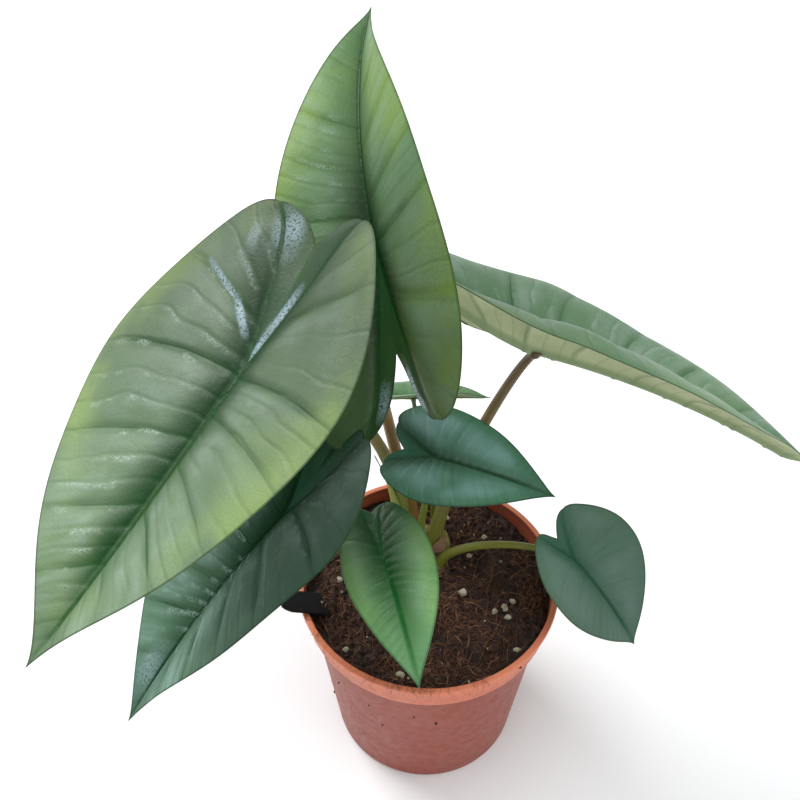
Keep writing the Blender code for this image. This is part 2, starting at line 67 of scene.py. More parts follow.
GAP = 0.3 * MM
BASE_RADIUS = 45.5 * MM
WALL = 1.4 * MM
LIP_HEIGHT = 2.2 * MM
LIP_PROUD = 1.2 * MM
COLLAR_HEIGHT = 15 * MM
COLLAR_STEP = 2.8 * MM
COLLAR_FOOT = POT_HEIGHT - LIP_HEIGHT - COLLAR_HEIGHT
COLLAR_FULL = COLLAR_FOOT + COLLAR_STEP      # where the collar has its full width
FLOOR_THICKNESS = 1.8 * MM
DRAIN_HOLES = 8
DRAIN_RADIUS = 3.5 * MM
DRAIN_CIRCLE = 31 * MM

SOIL_TOP = 97.5 * MM
SOIL_BULGE = 1.5 * MM
SOIL_BUMP = 0.9 * MM

STAKE_LENGTH = 45 * MM
STAKE_WIDTH = 12 * MM
STAKE_THICKNESS = 1.2 * MM
STAKE_AZIMUTH = 195
STAKE_SLANT = 28
STAKE_OVERHANG = 8.5 * MM
STAKE_CLEAR = 2.2 * MM

BLADE_THICKNESS = 0.8 * MM
DRIP_TIP = 0.5
DRIP_REACH = 0.07
NOTCH = 0.25
CREASE = 1.0 * MM            # the fold along the midrib is rounded this much
LOBE_ROUND = 0.36            # share of a lobe over which its pointed end is rounded
LOBE_BLUNT = 0.115           # how far that point is pushed in, as a share of the lobe
LOBE_SPLAY = 0.25            # share of that push that goes sideways too
LOBE_STRETCH = 0.065         # how far the whole lobe runs back to make up for it
LOBE_FLARE = 1.5             # how late the middle line of a lobe turns outwards
SETTLE_EASE = 0.08           # share of the front over which the sides start to settle
STALK_TAPER = 1.6            # how early a stalk narrows


def leaf_table(names, *rows):
    """One dict for each leaf, from rows of values in the order of the names."""
    return [dict(zip(names.split(), row)) for row in rows]


# at: where the petiole joins the blade. heading, pitch: where the tip points (degrees); roll: turn
# about that line.
PLACES = leaf_table(
    "at heading pitch roll",
    ((-0.0666, -0.0283, 0.2584), 233.2, -28.0, -17.9),
    ((-0.0228, 0.0370, 0.2642), 103.9, 33.7, 47.6),
    ((-0.0577, -0.0351, 0.1913), 213.1, -35.4, -16.6),
    ((0.0445, 0.0416, 0.2093), -8.5, -11.4, 28.3),
    ((0.0023, 0.0197, 0.1649), -17.1, -2.6, -13.7),
    ((-0.0193, -0.0247, 0.1501), -75.2, -1.8, -6.8),
    ((0.0634, -0.0093, 0.1303), -37.8, -32.7, -4.0),
    ((-0.0068, 0.0611, 0.1615), 2.0, 4.0, 32.0))

# front, lobe: join to tip, join to lobe ends. half_width: at the widest place. lobe_spread: lobe end
# to the middle line. sinus: join to the notch. taper, shoulder: fullness of the outline at tip and
# lobes.
OUTLINES = leaf_table(
    "front lobe half_width lobe_spread sinus taper shoulder",
    (0.1146, 0.0648, 0.0627, 0.0211, 0.0474, 1.13, 0.88),
    (0.1210, 0.0775, 0.0402, 0.0146, 0.0419, 1.06, 0.55),
    (0.1047, 0.0536, 0.0548, 0.0280, 0.0320, 1.03, 0.56),
    (0.1310, 0.0652, 0.0588, 0.0274, 0.0300, 0.99, 0.74),
    (0.0548, 0.0214, 0.0239, 0.0104, 0.0134, 1.09, 0.64),
    (0.0552, 0.0290, 0.0192, 0.0046, 0.0235, 1.08, 0.72),
    (0.0487, 0.0213, 0.0273, 0.0094, 0.0115, 1.11, 0.88),
    (0.0360, 0.0160, 0.0180, 0.0080, 0.0070, 1.05, 0.60))

# Angles in degrees. fold, arch: rise beside the midrib and fall to the margin. settle: how much of
# the fold is lost towards the tip. droop, lift: bend of the front and of the lobes. twist: turn of the tip
# about the midrib. sway: bend of the midrib to one side, as a share of the front. lopsided: how much
# wider the right side is.
BENDS = leaf_table(
    "fold arch settle droop lift twist sway lopsided",
    (16, 10, 0.0, -4, 11, 3, 0.010, 0.07),
    (38, 18, 0.0, 32, 2, -1, -0.002, 0.08),
    (20, 9, 0.0, 15, 20, 4, -0.002, 0.06),
    (40, 28, 0.51, 18, 16, -2, 0.025, 0.0),
    (12, 12, 0.0, 17, 2, -1, -0.001, -0.07),
    (10, 16, 0.0, 22, 4, 0, 0.021, -0.06),
    (22, 5, 0.0, 21, 13, -2, 0.011, -0.02),
    (24, 12, 0.0, 10, 5, 0, 0.0, 0.0))

# base: foot of the petiole on the crown. lean: how the petiole sets off. approach: how it comes in
# under the blade. foot, neck: petiole radii.
STALKS = leaf_table(
    "base lean approach foot neck",
    ((-0.0125, 0.0225), (0.0103, 0.0074, 0.0937), (-0.0339, 0.1062, -0.0648), 0.0036, 0.0016),
    ((-0.0050, 0.0270), (-0.0058, 0.0198, 0.0266), (-0.0149, 0.0091, -0.0388), 0.0038, 0.0020),
    ((-0.0115, 0.0145), (-0.0117, 0.0015, 0.0206), (0.0050, 0.0043, -0.0440), 0.0032, 0.0017),
    ((0.0040, 0.0220), (-0.0042, 0.0018, 0.0193), (-0.0067, 0.0147, -0.0194), 0.0040, 0.0020),
    ((-0.0035, 0.0165), (-0.0017, -0.0014, 0.0305), (0.0003, 0.0037, -0.0155), 0.0022, 0.0012),
    ((-0.0045, 0.0095), (-0.0030, -0.0060, 0.0260), (0.0015, 0.0080, -0.0120), 0.0020, 0.0012),
    ((0.0060, 0.0115), (0.0045, -0.0043, 0.0220), (-0.0159, 0.0106, 0.0024), 0.0024, 0.0014),
    ((0.0035, 0.0315), (0.0, 0.0100, 0.0300), (0.0020, -0.0060, -0.0150), 0.0018, 0.0010))

LEAVES = {
    f"leaf_{k + 1}": {**place, **outline, **bend, **stalk}
    for k, (place, outline, bend, stalk) in enumerate(zip(PLACES, OUTLINES, BENDS, STALKS))}

LARGE_FRONT = 90 * MM        # leaves with a longer front are large ones
USUAL_FRONT = 115 * MM       # the front of a leaf whose relief has the sizes given here

# ---- colours

# Screen colours of a blade. face: between the veins. margin: towards the edge, a painted glow of
# light through the leaf. vein: ribs. hollow: painted shade round the join and along the
# midrib. silver: bloom beside the ribs. under: the lower side.
PAINTS = leaf_table(
    "face margin vein hollow silver under",
    ((114, 136, 106), (150, 174, 106), (38, 84, 40), (32, 74, 38), (156, 174, 158), (136, 156, 104)),
    ((98, 128, 88), (130, 156, 76), (24, 72, 32), (14, 56, 26), (134, 160, 138), (126, 150, 92)),
    ((80, 104, 88), (96, 122, 98), (20, 58, 34), (26, 62, 38), (122, 144, 134), (112, 134, 94)),
    ((100, 130, 98), (118, 146, 104), (48, 90, 54), (58, 98, 60), (142, 160, 148), (204, 212, 168)),
    ((80, 114, 98), (60, 102, 74), (20, 62, 42), (18, 60, 40), (124, 156, 158), (92, 122, 82)),
    ((92, 128, 90), (118, 152, 98), (28, 84, 50), (22, 72, 40), (136, 166, 138), (120, 154, 90)),
    ((82, 106, 92), (86, 108, 92), (46, 78, 60), (50, 82, 66), (100, 122, 114), (104, 128, 92)),
    ((104, 138, 98), (118, 150, 96), (60, 96, 64), (70, 104, 70), (128, 154, 130), (140, 160, 104)))

# depth: a share that tones all colours of a blade. reach, strength: of the painted shade round the
# join and along the midrib, reach in millimetres. bloom: of the silver. rough, gloss: roughness and
# specular level. ribs: strength of the side veins. quilt: rise between them in millimetres.
# frost: strength of the painted highlights on the wrinkles, and side: the one that has
# them (0 for both). flank: strength of the painted shade along the midrib's right side. at_lobe,
# at_tip: factors on the colour there, a painted shading from lobe to tip.
FINISHES = leaf_table(
    "depth reach strength bloom rough gloss ribs quilt frost side flank at_lobe at_tip",
    (0.68, 17, 1.00, 0.62, 0.42, 0.20, 0.75, 1.30, 0.95, 1, 1.00, 0.71, 1.46),
    (0.79, 17, 1.00, 0.50, 0.38, 0.14, 0.34, 0.80, 0.65, -1, 0.00, 0.80, 1.32),
    (1.14, 17, 0.90, 0.85, 0.46, 0.03, 0.55, 0.95, 0.60, 0, 0.50, 0.80, 1.32),
    (0.88, 12, 0.75, 0.60, 0.42, 0.15, 0.62, 0.90, 0.45, 0, 0.00, 0.90, 1.15),
    (1.06, 9, 0.90, 0.60, 0.34, 0.25, 0.12, 0.06, 0.00, 0, 0.00, 0.78, 1.28),
    (1.00, 16, 1.00, 0.50, 0.32, 0.22, 0.16, 0.10, 0.15, 0, 0.75, 0.55, 2.10),
    (1.14, 8, 0.70, 0.60, 0.50, 0.20, 0.16, 0.08, 0.00, 0, 0.00, 1.16, 1.00),
    (0.90, 6, 0.50, 0.35, 0.42, 0.15, 0.30, 0.30, 0.20, 0, 0.00, 1.00, 1.20))

BLADE_LOOKS = {name: {**paint, **finish} for name, paint, finish in zip(LEAVES, PAINTS, FINISHES)}

# Screen colours of a stalk at its foot, half way and at its neck.
STALK_LOOKS = dict(zip(LEAVES, (
    ((138, 146, 70), (122, 92, 62), (104, 84, 56)),
    ((158, 116, 62), (140, 112, 64), (124, 134, 66)),
    ((134, 128, 66), (120, 108, 62), (100, 96, 62)),
    ((146, 150, 72), (118, 98, 66), (106, 84, 62)),
    ((130, 140, 66), (118, 128, 60), (100, 112, 60)),
    ((132, 144, 66), (116, 134, 62), (98, 122, 60)),
    ((134, 136, 62), (122, 124, 56), (110, 112, 58)),
    ((128, 138, 66), (116, 126, 62), (104, 116, 64)))))

STUDIO_LIGHT = 1.02          # light on a face that points up, as a share of full white
STUDIO_SHEEN = 0.020         # what a satin face adds to its own colour by reflection
DARKEST = 0.35               # share of a colour that stays, however much sheen is taken off it


def srgb(red, green, blue):
    """A colour given as 0 to 255 screen values, as the linear colour that shaders take."""
    def linear(value):
        c = value / 255
        return c / 12.92 if c <= 0.04045 else ((c + 0.055) / 1.055) ** 2.4
    return (linear(red), linear(green), linear(blue), 1.0)


def tone(red, green, blue):
    """The colour to paint so that the face looks like this in the studio light."""
    seen = srgb(red, green, blue)[:3]
    return tuple(max(DARKEST * c, c - STUDIO_SHEEN) / STUDIO_LIGHT for c in seen) + (1.0,)


# ---- shader graphs

class Value:
    """What a node gives out. Sums, differences and products of values make further nodes."""

    def __init__(self, graph, socket):
        self.graph = graph
        self.socket = socket

    def __add__(self, other):
        return self.graph.math("ADD", self, other)

    def __sub__(self, other):
        return self.graph.math("SUBTRACT", self, other)

    def __rsub__(self, other):
        return self.graph.math("SUBTRACT", other, self)

    def __mul__(self, other):
        return self.graph.math("MULTIPLY", self, other)


class Graph:
    """A material's node tree, with one short call for each kind of node."""

    def __init__(self, name):
        self.material = bpy.data.materials.new(name)
        self.material.use_nodes = True
        self.tree = self.material.node_tree
        self.shader = self.tree.nodes["Principled BSDF"]

    def put(self, socket, value):
        if isinstance(value, Value):
            self.tree.links.new(value.socket, socket)
        else:
            socket.default_value = value

    def node(self, kind, inputs, output=0, **settings):
        made = self.tree.nodes.new(kind)
        for key, value in settings.items():
            setattr(made, key, value)
        for key, value in inputs.items():
            self.put(made.inputs[key], value)
        return Value(self, made.outputs[output])

    def attribute(self, name, output="Fac"):
        return self.node("ShaderNodeAttribute", {}, output, attribute_name=name)

    def position(self):
        return self.node("ShaderNodeTexCoord", {}, "Object")

    def parts(self, vector):
        x = self.node("ShaderNodeSeparateXYZ", {0: vector})
        return [Value(self, socket) for socket in x.socket.node.outputs]

    def combine(self, x, y, z):
        return self.node("ShaderNodeCombineXYZ", {0: x, 1: y, 2: z})

    def math(self, operation, first, second=0.0):
        return self.node("ShaderNodeMath", {0: first, 1: second}, operation=operation)

    def stretched(self, vector, *factors):
        return self.node("ShaderNodeVectorMath", {0: vector, 1: factors}, operation="MULTIPLY")

    def noise(self, vector, scale, detail=3.0, roughness=0.5, distortion=0.0):
        return self.node("ShaderNodeTexNoise", {
            "Vector": vector, "Scale": scale, "Detail": detail, "Roughness": roughness,
            "Distortion": distortion}, "Fac")

    def cells(self, vector, scale, feature="F1"):
        inputs = {"Vector": vector, "Scale": scale}
        return self.node("ShaderNodeTexVoronoi", inputs, "Distance", feature=feature)

    def step(self, value, low, high, out_low=0.0, out_high=1.0):
        """A smooth step from out_low, where the value is low, to out_high, where it is high."""
        return self.node("ShaderNodeMapRange", {
            "Value": value, "From Min": low, "From Max": high, "To Min": out_low,
            "To Max": out_high}, "Result", interpolation_type="SMOOTHSTEP")

    def mix(self, share, first, second, blend="MIX"):
        # a colour mix has its share at input 0, its colours at 6 and 7 and its result at output 2
        inputs = {0: share, 6: first, 7: second}
        return self.node("ShaderNodeMix", inputs, 2, data_type="RGBA", blend_type=blend)

    def layers(self, colour, *layers):
        """A colour with further colours over it, each by its own share."""
        for share, over in layers:
            colour = self.mix(share, colour, over)
        return colour

    def bump(self, height, distance, strength=1.0):
        inputs = {"Height": height, "Distance": distance, "Strength": strength}
        return self.node("ShaderNodeBump", inputs, "Normal")

    def finish(self, colour, roughness, normal=None, specular=0.5):
        self.put(self.shader.inputs["Base Color"], colour)
        self.put(self.shader.inputs["Roughness"], roughness)
        if normal is not None:
            self.put(self.shader.inputs["Normal"], normal)
        self.shader.inputs["Specular IOR Level"].default_value = specular
        return self.material


VEIN_VARIETY = 0.34          # how unequal the side veins are
VEIN_TURN = 2.4              # steps the strength from one side vein to the next
SMOOTH_QUILT = 0.15          # a blade quilted less than this has its bloom in clouds
MINOR_VEINS = 3.0            # minor veins for each side vein
GLINT = (174, 196, 206)      # colour of the painted glints along the veins
DRY_EDGE = (96, 84, 60)      # brown of the thin rim


def blade_material(name, looks, length):
    """Waxy leaf: face colour with silver bloom beside the ribs, yellower towards the margin as a painted
    glow of light through the leaf, painted shade round the join and along the midrib, dark veins in two
    sizes, a fine net between them, painted highlights on the wrinkles, painted shading from lobe to
    tip, painted glints along some veins, a thin dark edge, and a paler lower side."""
    g = Graph(name)

    def paint(colour):
        return tuple(c * looks["depth"] for c in tone(*colour)[:3]) + (1.0,)

    def blend(share, first, second):
        return paint([(1 - share) * a + share * b for a, b in zip(first, second)])

    def offset(rows, width):
        """Distance from the nearest whole row; its sign tells the side."""
        return (g.math("FRACT", rows + 0.5) - 0.5) * width

    flat = g.attribute("flat", "Vector")
    flat_x, flat_y, _ = g.parts(flat)
    row, spacing, rib = g.parts(g.attribute("vein", "Vector"))
    edge, glint_mask, under = g.parts(g.attribute("zone", "Vector"))
    plain = g.attribute("plain")
    veined = 1.0 - plain

    # distances from the side veins and the minor veins, and the patterns all layers share
    first = g.math("ABSOLUTE", offset(row, spacing))
    turn = g.math("FLOOR", row + 0.5) * VEIN_TURN
    bold = g.math("SINE", turn) * VEIN_VARIETY + (1 - VEIN_VARIETY)
    loose_row = row + (g.noise(flat, 32, 1) - 0.5) * 0.42
    beside_second = offset(loose_row * MINOR_VEINS, g.math("DIVIDE", spacing, MINOR_VEINS))
    second = g.math("ABSOLUTE", beside_second)
    jog = g.node("ShaderNodeTexNoise", {"Vector": flat, "Scale": 240.0}, "Color")
    jog = g.stretched(jog, 2.2 * MM, 2.2 * MM, 0.0)
    bent = g.node("ShaderNodeVectorMath", {0: g.stretched(flat, 1.0, 1.0, 0.0), 1: jog})
    net = g.cells(bent, 300, "DISTANCE_TO_EDGE")
    fine = g.noise(flat, 2200, 3, 0.65)
    patch = g.noise(flat, 38, 3, 0.55)
    broad = g.noise(flat, 20, 3, 0.55)
    drawn = g.noise(g.combine(flat_x * 45.0, row * 2.4, 3.0), 1.0, 3, 0.6)

    # face, a yellower margin painted as a glow of light through the leaf, and silver bloom
    # painted glow of light through the leaf, yellower towards the margin
    margin_glow = g.step(edge, 21 * MM, 2 * MM) * g.step(broad, 0.40, 0.62)
    margin_glow = margin_glow * g.step(flat_y, 0.85 * length, 0.35 * length, 0.25, 0.9)
    colour = g.mix(margin_glow, paint(looks["face"]), paint(looks["margin"]))
    warm = blend(0.55, looks["face"], looks["margin"])
    colour = g.mix(g.step(broad, 0.50, 0.68, 0.0, 0.7), colour, warm)
    if looks["quilt"] > SMOOTH_QUILT:
        strokes = g.mix(min(0.5, looks["quilt"]), patch, drawn)
        bloom = g.step(rib, 2 * MM, 12 * MM) * g.step(rib, 55 * MM, 16 * MM)
        bloom = bloom * g.step(strokes, 0.40, 0.66) * g.step(first, 0.4 * MM, 4 * MM)
    else:
        clouds = g.step(g.noise(flat, 46, 2, 0.45), 0.34, 0.66)
        bloom = g.step(rib, 1 * MM, 6 * MM) * clouds * g.step(edge, 1 * MM, 7 * MM)
    colour = g.mix(bloom * veined * looks["bloom"], colour, paint(looks["silver"]))

    # painted shade round the join, along the midrib and on its right flank, and a blend with the shade
    # colour between the lobe ribs
    reach = looks["reach"] * MM
    near_join = g.step(g.math("ABSOLUTE", flat_y + 0.3 * reach), 3.6 * reach, 0.3 * reach)
    # painted shade where the fold round the join and along the midrib lies in shadow
    shade = g.step(rib, reach, 0.0) * (near_join * 0.75 + 0.25) * g.step(patch, 0.2, 0.6, 0.75, 1.0)
    flank = g.step(rib, reach, 0.1 * reach) * g.step(flat_x, 0.0, 2 * MM, 0.0, looks["flank"])
    shade = g.math("MAXIMUM", shade, flank * g.step(edge, 4 * MM, 24 * MM))
    colour = g.mix(shade * looks["strength"], colour, paint(looks["hollow"]))
    # between the lobe ribs: a blend of the face and the painted shade colour
    colour = g.mix(plain * 0.75, colour, blend(0.55, looks["face"], looks["hollow"]))

    # side veins with the band beside them, minor veins, main ribs and the fine net
    seen = veined * looks["ribs"]
    bold = bold * seen
    band = g.step(first, 4.2 * MM, 0.0) * g.step(edge, 2 * MM, 20 * MM, 0.10, 0.50)
    line = g.step(first, 0.75 * MM, 0.1 * MM) * g.step(edge, 2 * MM, 16 * MM, 0.35, 0.95)
    minor = g.step(second, 1.2 * MM, 0.1 * MM) * g.step(patch, 0.40, 0.65, 0.0, 0.34)
    main_rib = g.step(rib, 1.6 * MM, 0.4 * MM) * g.step(edge, 1 * MM, 12 * MM, 0.35, 0.9)
    mesh = g.step(net, 0.10, 0.0) * g.step(patch, 0.45, 0.7, 0.02, 0.12)
    shares = (band * bold, line * bold, minor * seen, main_rib, mesh)
    colour = g.layers(colour, *((share, paint(looks["vein"])) for share in shares))

    # painted highlights on the wrinkles, speckle, painted shading from lobe to tip, and painted glints
    # along veins
    # painted highlights: light catching the wrinkles, painted as a lighter silver
    highlight_wrinkle = g.step(beside_second, 0.2 * MM, 1.0 * MM) * g.step(beside_second, 3.4 * MM, 1.2 * MM)
    highlight_wrinkle = highlight_wrinkle * g.step(g.noise(flat, 75, 3, 0.6), 0.47, 0.60)
    highlight_wrinkle = highlight_wrinkle * g.step(g.noise(flat, 1100, 3, 0.7), 0.36, 0.60)
    highlight_wrinkle = highlight_wrinkle * g.step(edge, 3 * MM, 10 * MM)
    if looks["side"]:
        highlight_wrinkle = highlight_wrinkle * g.step(flat_x * looks["side"], 4 * MM, 14 * MM, 0.12, 1.0)
    highlight_wrinkle = highlight_wrinkle * veined
    # colour of the painted highlights: the silver made lighter
    highlight_colour = paint([min(255, c + 14) for c in looks["silver"]])
    colour = g.mix(highlight_wrinkle * looks["frost"], colour, highlight_colour)
    speckle_and_shading = g.step(fine, 0.25, 0.75, 0.86, 1.14)
    # painted shading: the colour is scaled from at_lobe at the lobes to at_tip at the tip, as light falls
    # on the blade
    speckle_and_shading = speckle_and_shading * g.step(flat_y, -0.45 * length, 0.75 * length, looks["at_lobe"], looks["at_tip"])
    colour = g.mix(1.0, colour, g.combine(speckle_and_shading, speckle_and_shading, speckle_and_shading), "MULTIPLY")
    # painted glints: reflections along the veins, painted as pale bands
    glint = glint_mask * g.step(g.noise(flat, 1000, 3, 0.75), 0.40, 0.50)
    glint = glint * g.step(rib, 0.6 * MM, 1.4 * MM)
    colour = g.mix(glint, colour, paint(GLINT))

    # lower side and rim
    dull = paint([0.92 * c for c in looks["under"]])
    lower = g.mix(g.step(patch, 0.3, 0.7), paint(looks["under"]), dull)
    lower_vein = blend(0.38, looks["under"], looks["vein"])
    lower = g.layers(lower, (g.step(rib, 3.0 * MM, 1.2 * MM) * 0.8, lower_vein),
                     (g.step(first, 1.6 * MM, 0.4 * MM) * 0.6, lower_vein),
                     (g.step(second, 0.8 * MM, 0.1 * MM) * 0.3, lower_vein))
    rim = g.step(edge, 0.9 * MM, 0.2 * MM, 0.0, 0.55)
    colour = g.layers(colour, (g.step(under, 0.6, 0.9), lower),
                      (rim, blend(0.4, looks["vein"], DRY_EDGE)))

    roughness = g.step(patch, 0.3, 0.7, looks["rough"] - 0.05, looks["rough"] + 0.09) - glint * 0.14
    height = g.step(second, 1.6 * MM, 0.0) * -0.45 * veined + g.step(net, 0.16, 0.0) * -0.10
    height = height + highlight_wrinkle * 0.25 + fine * 0.22 + drawn * (0.5 * looks["quilt"])
    return g.finish(colour, roughness, g.bump(height, 0.35 * MM, 0.8), looks["gloss"])


# ---- mesh helpers

def mesh_object(name, vertices, faces, material, attributes=None):
    """A piece from arrays; attributes maps a name to one number or one vector for each vertex."""
    mesh = bpy.data.meshes.new(name)
    mesh.from_pydata(np.asarray(vertices).tolist(), [], faces)
    for key, values in (attributes or {}).items():
        values = np.asarray(values, np.float32)
        kind, field = ("FLOAT_VECTOR", "vector") if values.ndim == 2 else ("FLOAT", "value")
        mesh.attributes.new(key, kind, "POINT").data.foreach_set(field, values.ravel())
    bm = bmesh.new()
    bm.from_mesh(mesh)
    bmesh.ops.recalc_face_normals(bm, faces=bm.faces)
    bm.to_mesh(mesh)
    bm.free()
    mesh.shade_smooth()
    mesh.materials.append(material)
    return linked(name, mesh)


def linked(name, data):
    """A new object in the scene for a mesh, a lamp or a camera."""
    made = bpy.data.objects.new(name, data)
    bpy.context.scene.collection.objects.link(made)
    return made


def place(piece, slot, *nodes):
    """The piece belongs to the object: it rides on the frame and stands for its CAD nodes, and its
    slot is not used."""
    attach(piece, "root")
    if nodes:
        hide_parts(*nodes)


def skin(rings, sides, first=1, caps=False):
    """Quads between rings of equal counts, where ring k starts at first + k * sides."""
    faces = []
    for k in range(rings - 1):
        low, high = first + k * sides, first + (k + 1) * sides
        for i in range(sides):
            j = (i + 1) % sides
            faces.append((low + i, low + j, high + j, high + i))
    if caps:
        faces.append(tuple(first + i for i in reversed(range(sides))))
        faces.append(tuple(first + (rings - 1) * sides + i for i in range(sides)))
    return faces


def turned_skin(rings, sides):
    """Faces of a turned body: a vertex on the axis, the rings, and a last vertex on the axis."""
    faces = skin(rings, sides)
    last = 1 + (rings - 1) * sides
    for i in range(sides):
        j = (i + 1) % sides
        faces.append((0, 1 + j, 1 + i))
        faces.append((last + sides, last + i, last + j))
    return faces


def angles(count):
    return [2 * pi * i / count for i in range(count)]


def polar(radius, angle, *z):
    """x and y, and z where it is given, of a place at a radius and an angle round the axis."""
    return (radius * cos(angle), radius * sin(angle), *z)


def smooth_step(value, low, high):
    t = np.clip((value - low) / (high - low), 0, 1)
    return t * t * (3 - 2 * t)


def bell(distance, width):
    """1 at no distance, falling off smoothly over the width."""
    return np.exp(-(distance / width) ** 2)


class Bits:
    """Many small bits that make one piece, each with a tone where the material asks for one."""

    def __init__(self):
        self.vertices = []
        self.faces = []
        self.tones = []

    def add(self, vertices, faces, *tones):
        first = len(self.vertices)
        self.vertices.extend(vertices)
        self.faces.extend(tuple(first + v for v in face) for face in faces)
        self.tones.extend(tones * len(vertices))

    def piece(self, name, material, slot, *nodes):
        attributes = {"tone": self.tones} if self.tones else None
        place(mesh_object(name, self.vertices, self.faces, material, attributes), slot, *nodes)


# ---- leaf maths, as in the CAD model

def outer_margin(p, leaf):
    """Half the outline, from the tip (p = 0) round the side to the lobe's end (p = 1)."""
    a, b = leaf["taper"], leaf["shoulder"]
    peak = a / (a + b)
    full = peak ** a * (1 - peak) ** b
    pinch = 1 - DRIP_TIP * np.exp(-p / DRIP_REACH)
    bulge = leaf["half_width"] - leaf["lobe_spread"] * peak ** LOBE_FLARE
    x = leaf["lobe_spread"] * p ** LOBE_FLARE + bulge * p ** a * (1 - p) ** b / full * pinch
    return x, leaf["front"] - (leaf["front"] + leaf["lobe"]) * p


def inner_margin(q, leaf):
    """The notch's side, from the lobe's end (q = 0) to the notch's point (q = 1)."""
    x = leaf["lobe_spread"] * (1 - q) * (1 - NOTCH * np.sqrt(q))
    return x, -leaf["lobe"] + (leaf["lobe"] - leaf["sinus"]) * q


def round_lobe(x, y, leaf):
    """Blunts the lobe ends of the flat blade."""
    lobe = leaf["lobe"]
    back = np.clip(-y / lobe, 0, 1)
    away = np.hypot(np.abs(x) - leaf["lobe_spread"], y + lobe)
    push = LOBE_BLUNT * lobe * np.clip(1 - away / (LOBE_ROUND * lobe), 0, 1) ** 2
    return x + LOBE_SPLAY * np.sign(x) * push, y + push - LOBE_STRETCH * lobe * back ** 2


def curve_blade(x, y, leaf):
    """Flat blade coordinates to the folded, arched and bent blade, in the blade's own frame."""
    x, y = round_lobe(x, y, leaf)
    front = np.clip(y / leaf["front"], 0, 1)
    back = np.clip(-y / leaf["lobe"], 0, 1)
    soft = CREASE * (1 + 4 * back)
    across = (np.sqrt(x * x + soft * soft) - soft) / leaf["half_width"]
    x = x * (1 + leaf["lopsided"] * np.sign(x))
    fold = tan(radians(leaf["fold"]))
    arch = tan(radians(leaf["arch"]))
    ease = hypot(1, SETTLE_EASE) - SETTLE_EASE
    settled = leaf["settle"] * (np.hypot(front, SETTLE_EASE) - SETTLE_EASE) / ease
    z = leaf["half_width"] * across * (fold - arch * across - settled)
    turn = radians(leaf["twist"]) * y / leaf["front"]
    x, z = x * np.cos(turn) - z * np.sin(turn), x * np.sin(turn) + z * np.cos(turn)
    x = x + leaf["sway"] * leaf["front"] * np.sign(y) * (y / leaf["front"]) ** 2
    bend = radians(leaf["droop"]) * front + radians(leaf["lift"]) * back
    chord = y * np.sinc(bend / 2 / pi)
    along = chord * np.cos(bend / 2) + z * np.sin(bend)
    height = -chord * np.sin(bend / 2) + z * np.cos(bend)
    return np.stack([x, along, height], -1)


def blade_frame(leaf):
    """Unit vectors of the blade: to its right, to its tip, and up out of its upper face."""
    h, p, r = (radians(leaf[k]) for k in ("heading", "pitch", "roll"))
    tip = np.array([cos(p) * cos(h), cos(p) * sin(h), sin(p)])
    up = np.array([-sin(p) * cos(h), -sin(p) * sin(h), cos(p)])
    side = np.cross(tip, up)
    return np.stack([side * cos(r) + up * sin(r), tip, up * cos(r) - side * sin(r)])


def blade_points(x, y, leaf):
    return curve_blade(x, y, leaf) @ blade_frame(leaf) + np.array(leaf["at"])


# ---- the flat blade and its veins

RIB_FLARE = 1.15             # how late a lobe's rib turns outwards
MARGIN_LAG = 1.12            # power that shifts the cross lines' outer ends towards the tip
NOTCH_START = 0.45           # share of a lobe's rib whose cross lines end before the notch
SLOPE_STEP = 0.2 * MM        # distance over which slopes on the flat blade are measured

VEIN_SLOPE = -0.10           # a side vein's slope towards the tip where it leaves the join
VEIN_TURN_FRONT = 1.25       # how much steeper it is towards the tip
VEIN_TURN_BACK = 4.0         # and how much further back it runs in the lobes
VEIN_SWEEP = 0.50            # how much each bends towards the tip on its way out
VEIN_JITTER = 0.03           # how far the usual veins are moved at random

# where side veins leave the midrib, as shares of the front, right side of the blade then left
LARGE_VEINS = (1.02, 0.85, 0.67, 0.48, 0.29, 0.11, -0.04, -0.19, -0.37, -0.60)
SMALL_VEINS = (1.02, 0.80, 0.58, 0.36, 0.15, -0.03, -0.22, -0.50)
VEINS = {
    "leaf_1": ((1.02, 0.84, 0.66, 0.465, 0.24, 0.01, -0.115, -0.30, -0.52),
               (1.02, 0.86, 0.66, 0.475, 0.32, 0.15, 0.02, -0.13, -0.32, -0.55)),
}
SWEEPS = {"leaf_1": (0.50, 0.26)}

# painted glints, bands of sheen: from x, y to x, y on the flat blade and half their width, in
# millimetres, and their strength
PAINTED_GLINTS = {
    "leaf_1": ((6.5, -12.0, 19.0, -23.5, 1.8, 1.0), (17.0, -22.0, 40.0, -32.0, 1.5, 1.0),
               (0.2, -3.0, -1.4, -18.0, 2.2, 1.0), (-1.0, -14.0, -5.6, -33.0, 3.2, 1.0),
               (11.0, -45.0, 16.0, -58.0, 8.0, 0.75), (24.0, -40.0, 27.0, -50.0, 3.5, 0.35)),
    "leaf_2": ((3.8, -49.0, 7.0, -61.0, 2.0, 0.9), (6.5, -59.0, 11.5, -70.0, 2.2, 0.9),
               (-6.0, -52.0, -9.5, -66.0, 2.6, 0.45)),
    "leaf_3": ((2.0, 74.0, 3.0, 92.0, 9.0, 0.30),),
}


def rib_line(y, leaf):
    """How far the main rib lies from the middle line: none in front, spreading into the lobes."""
    return leaf["lobe_spread"] * np.clip(-y / leaf["lobe"], 0, 1) ** RIB_FLARE


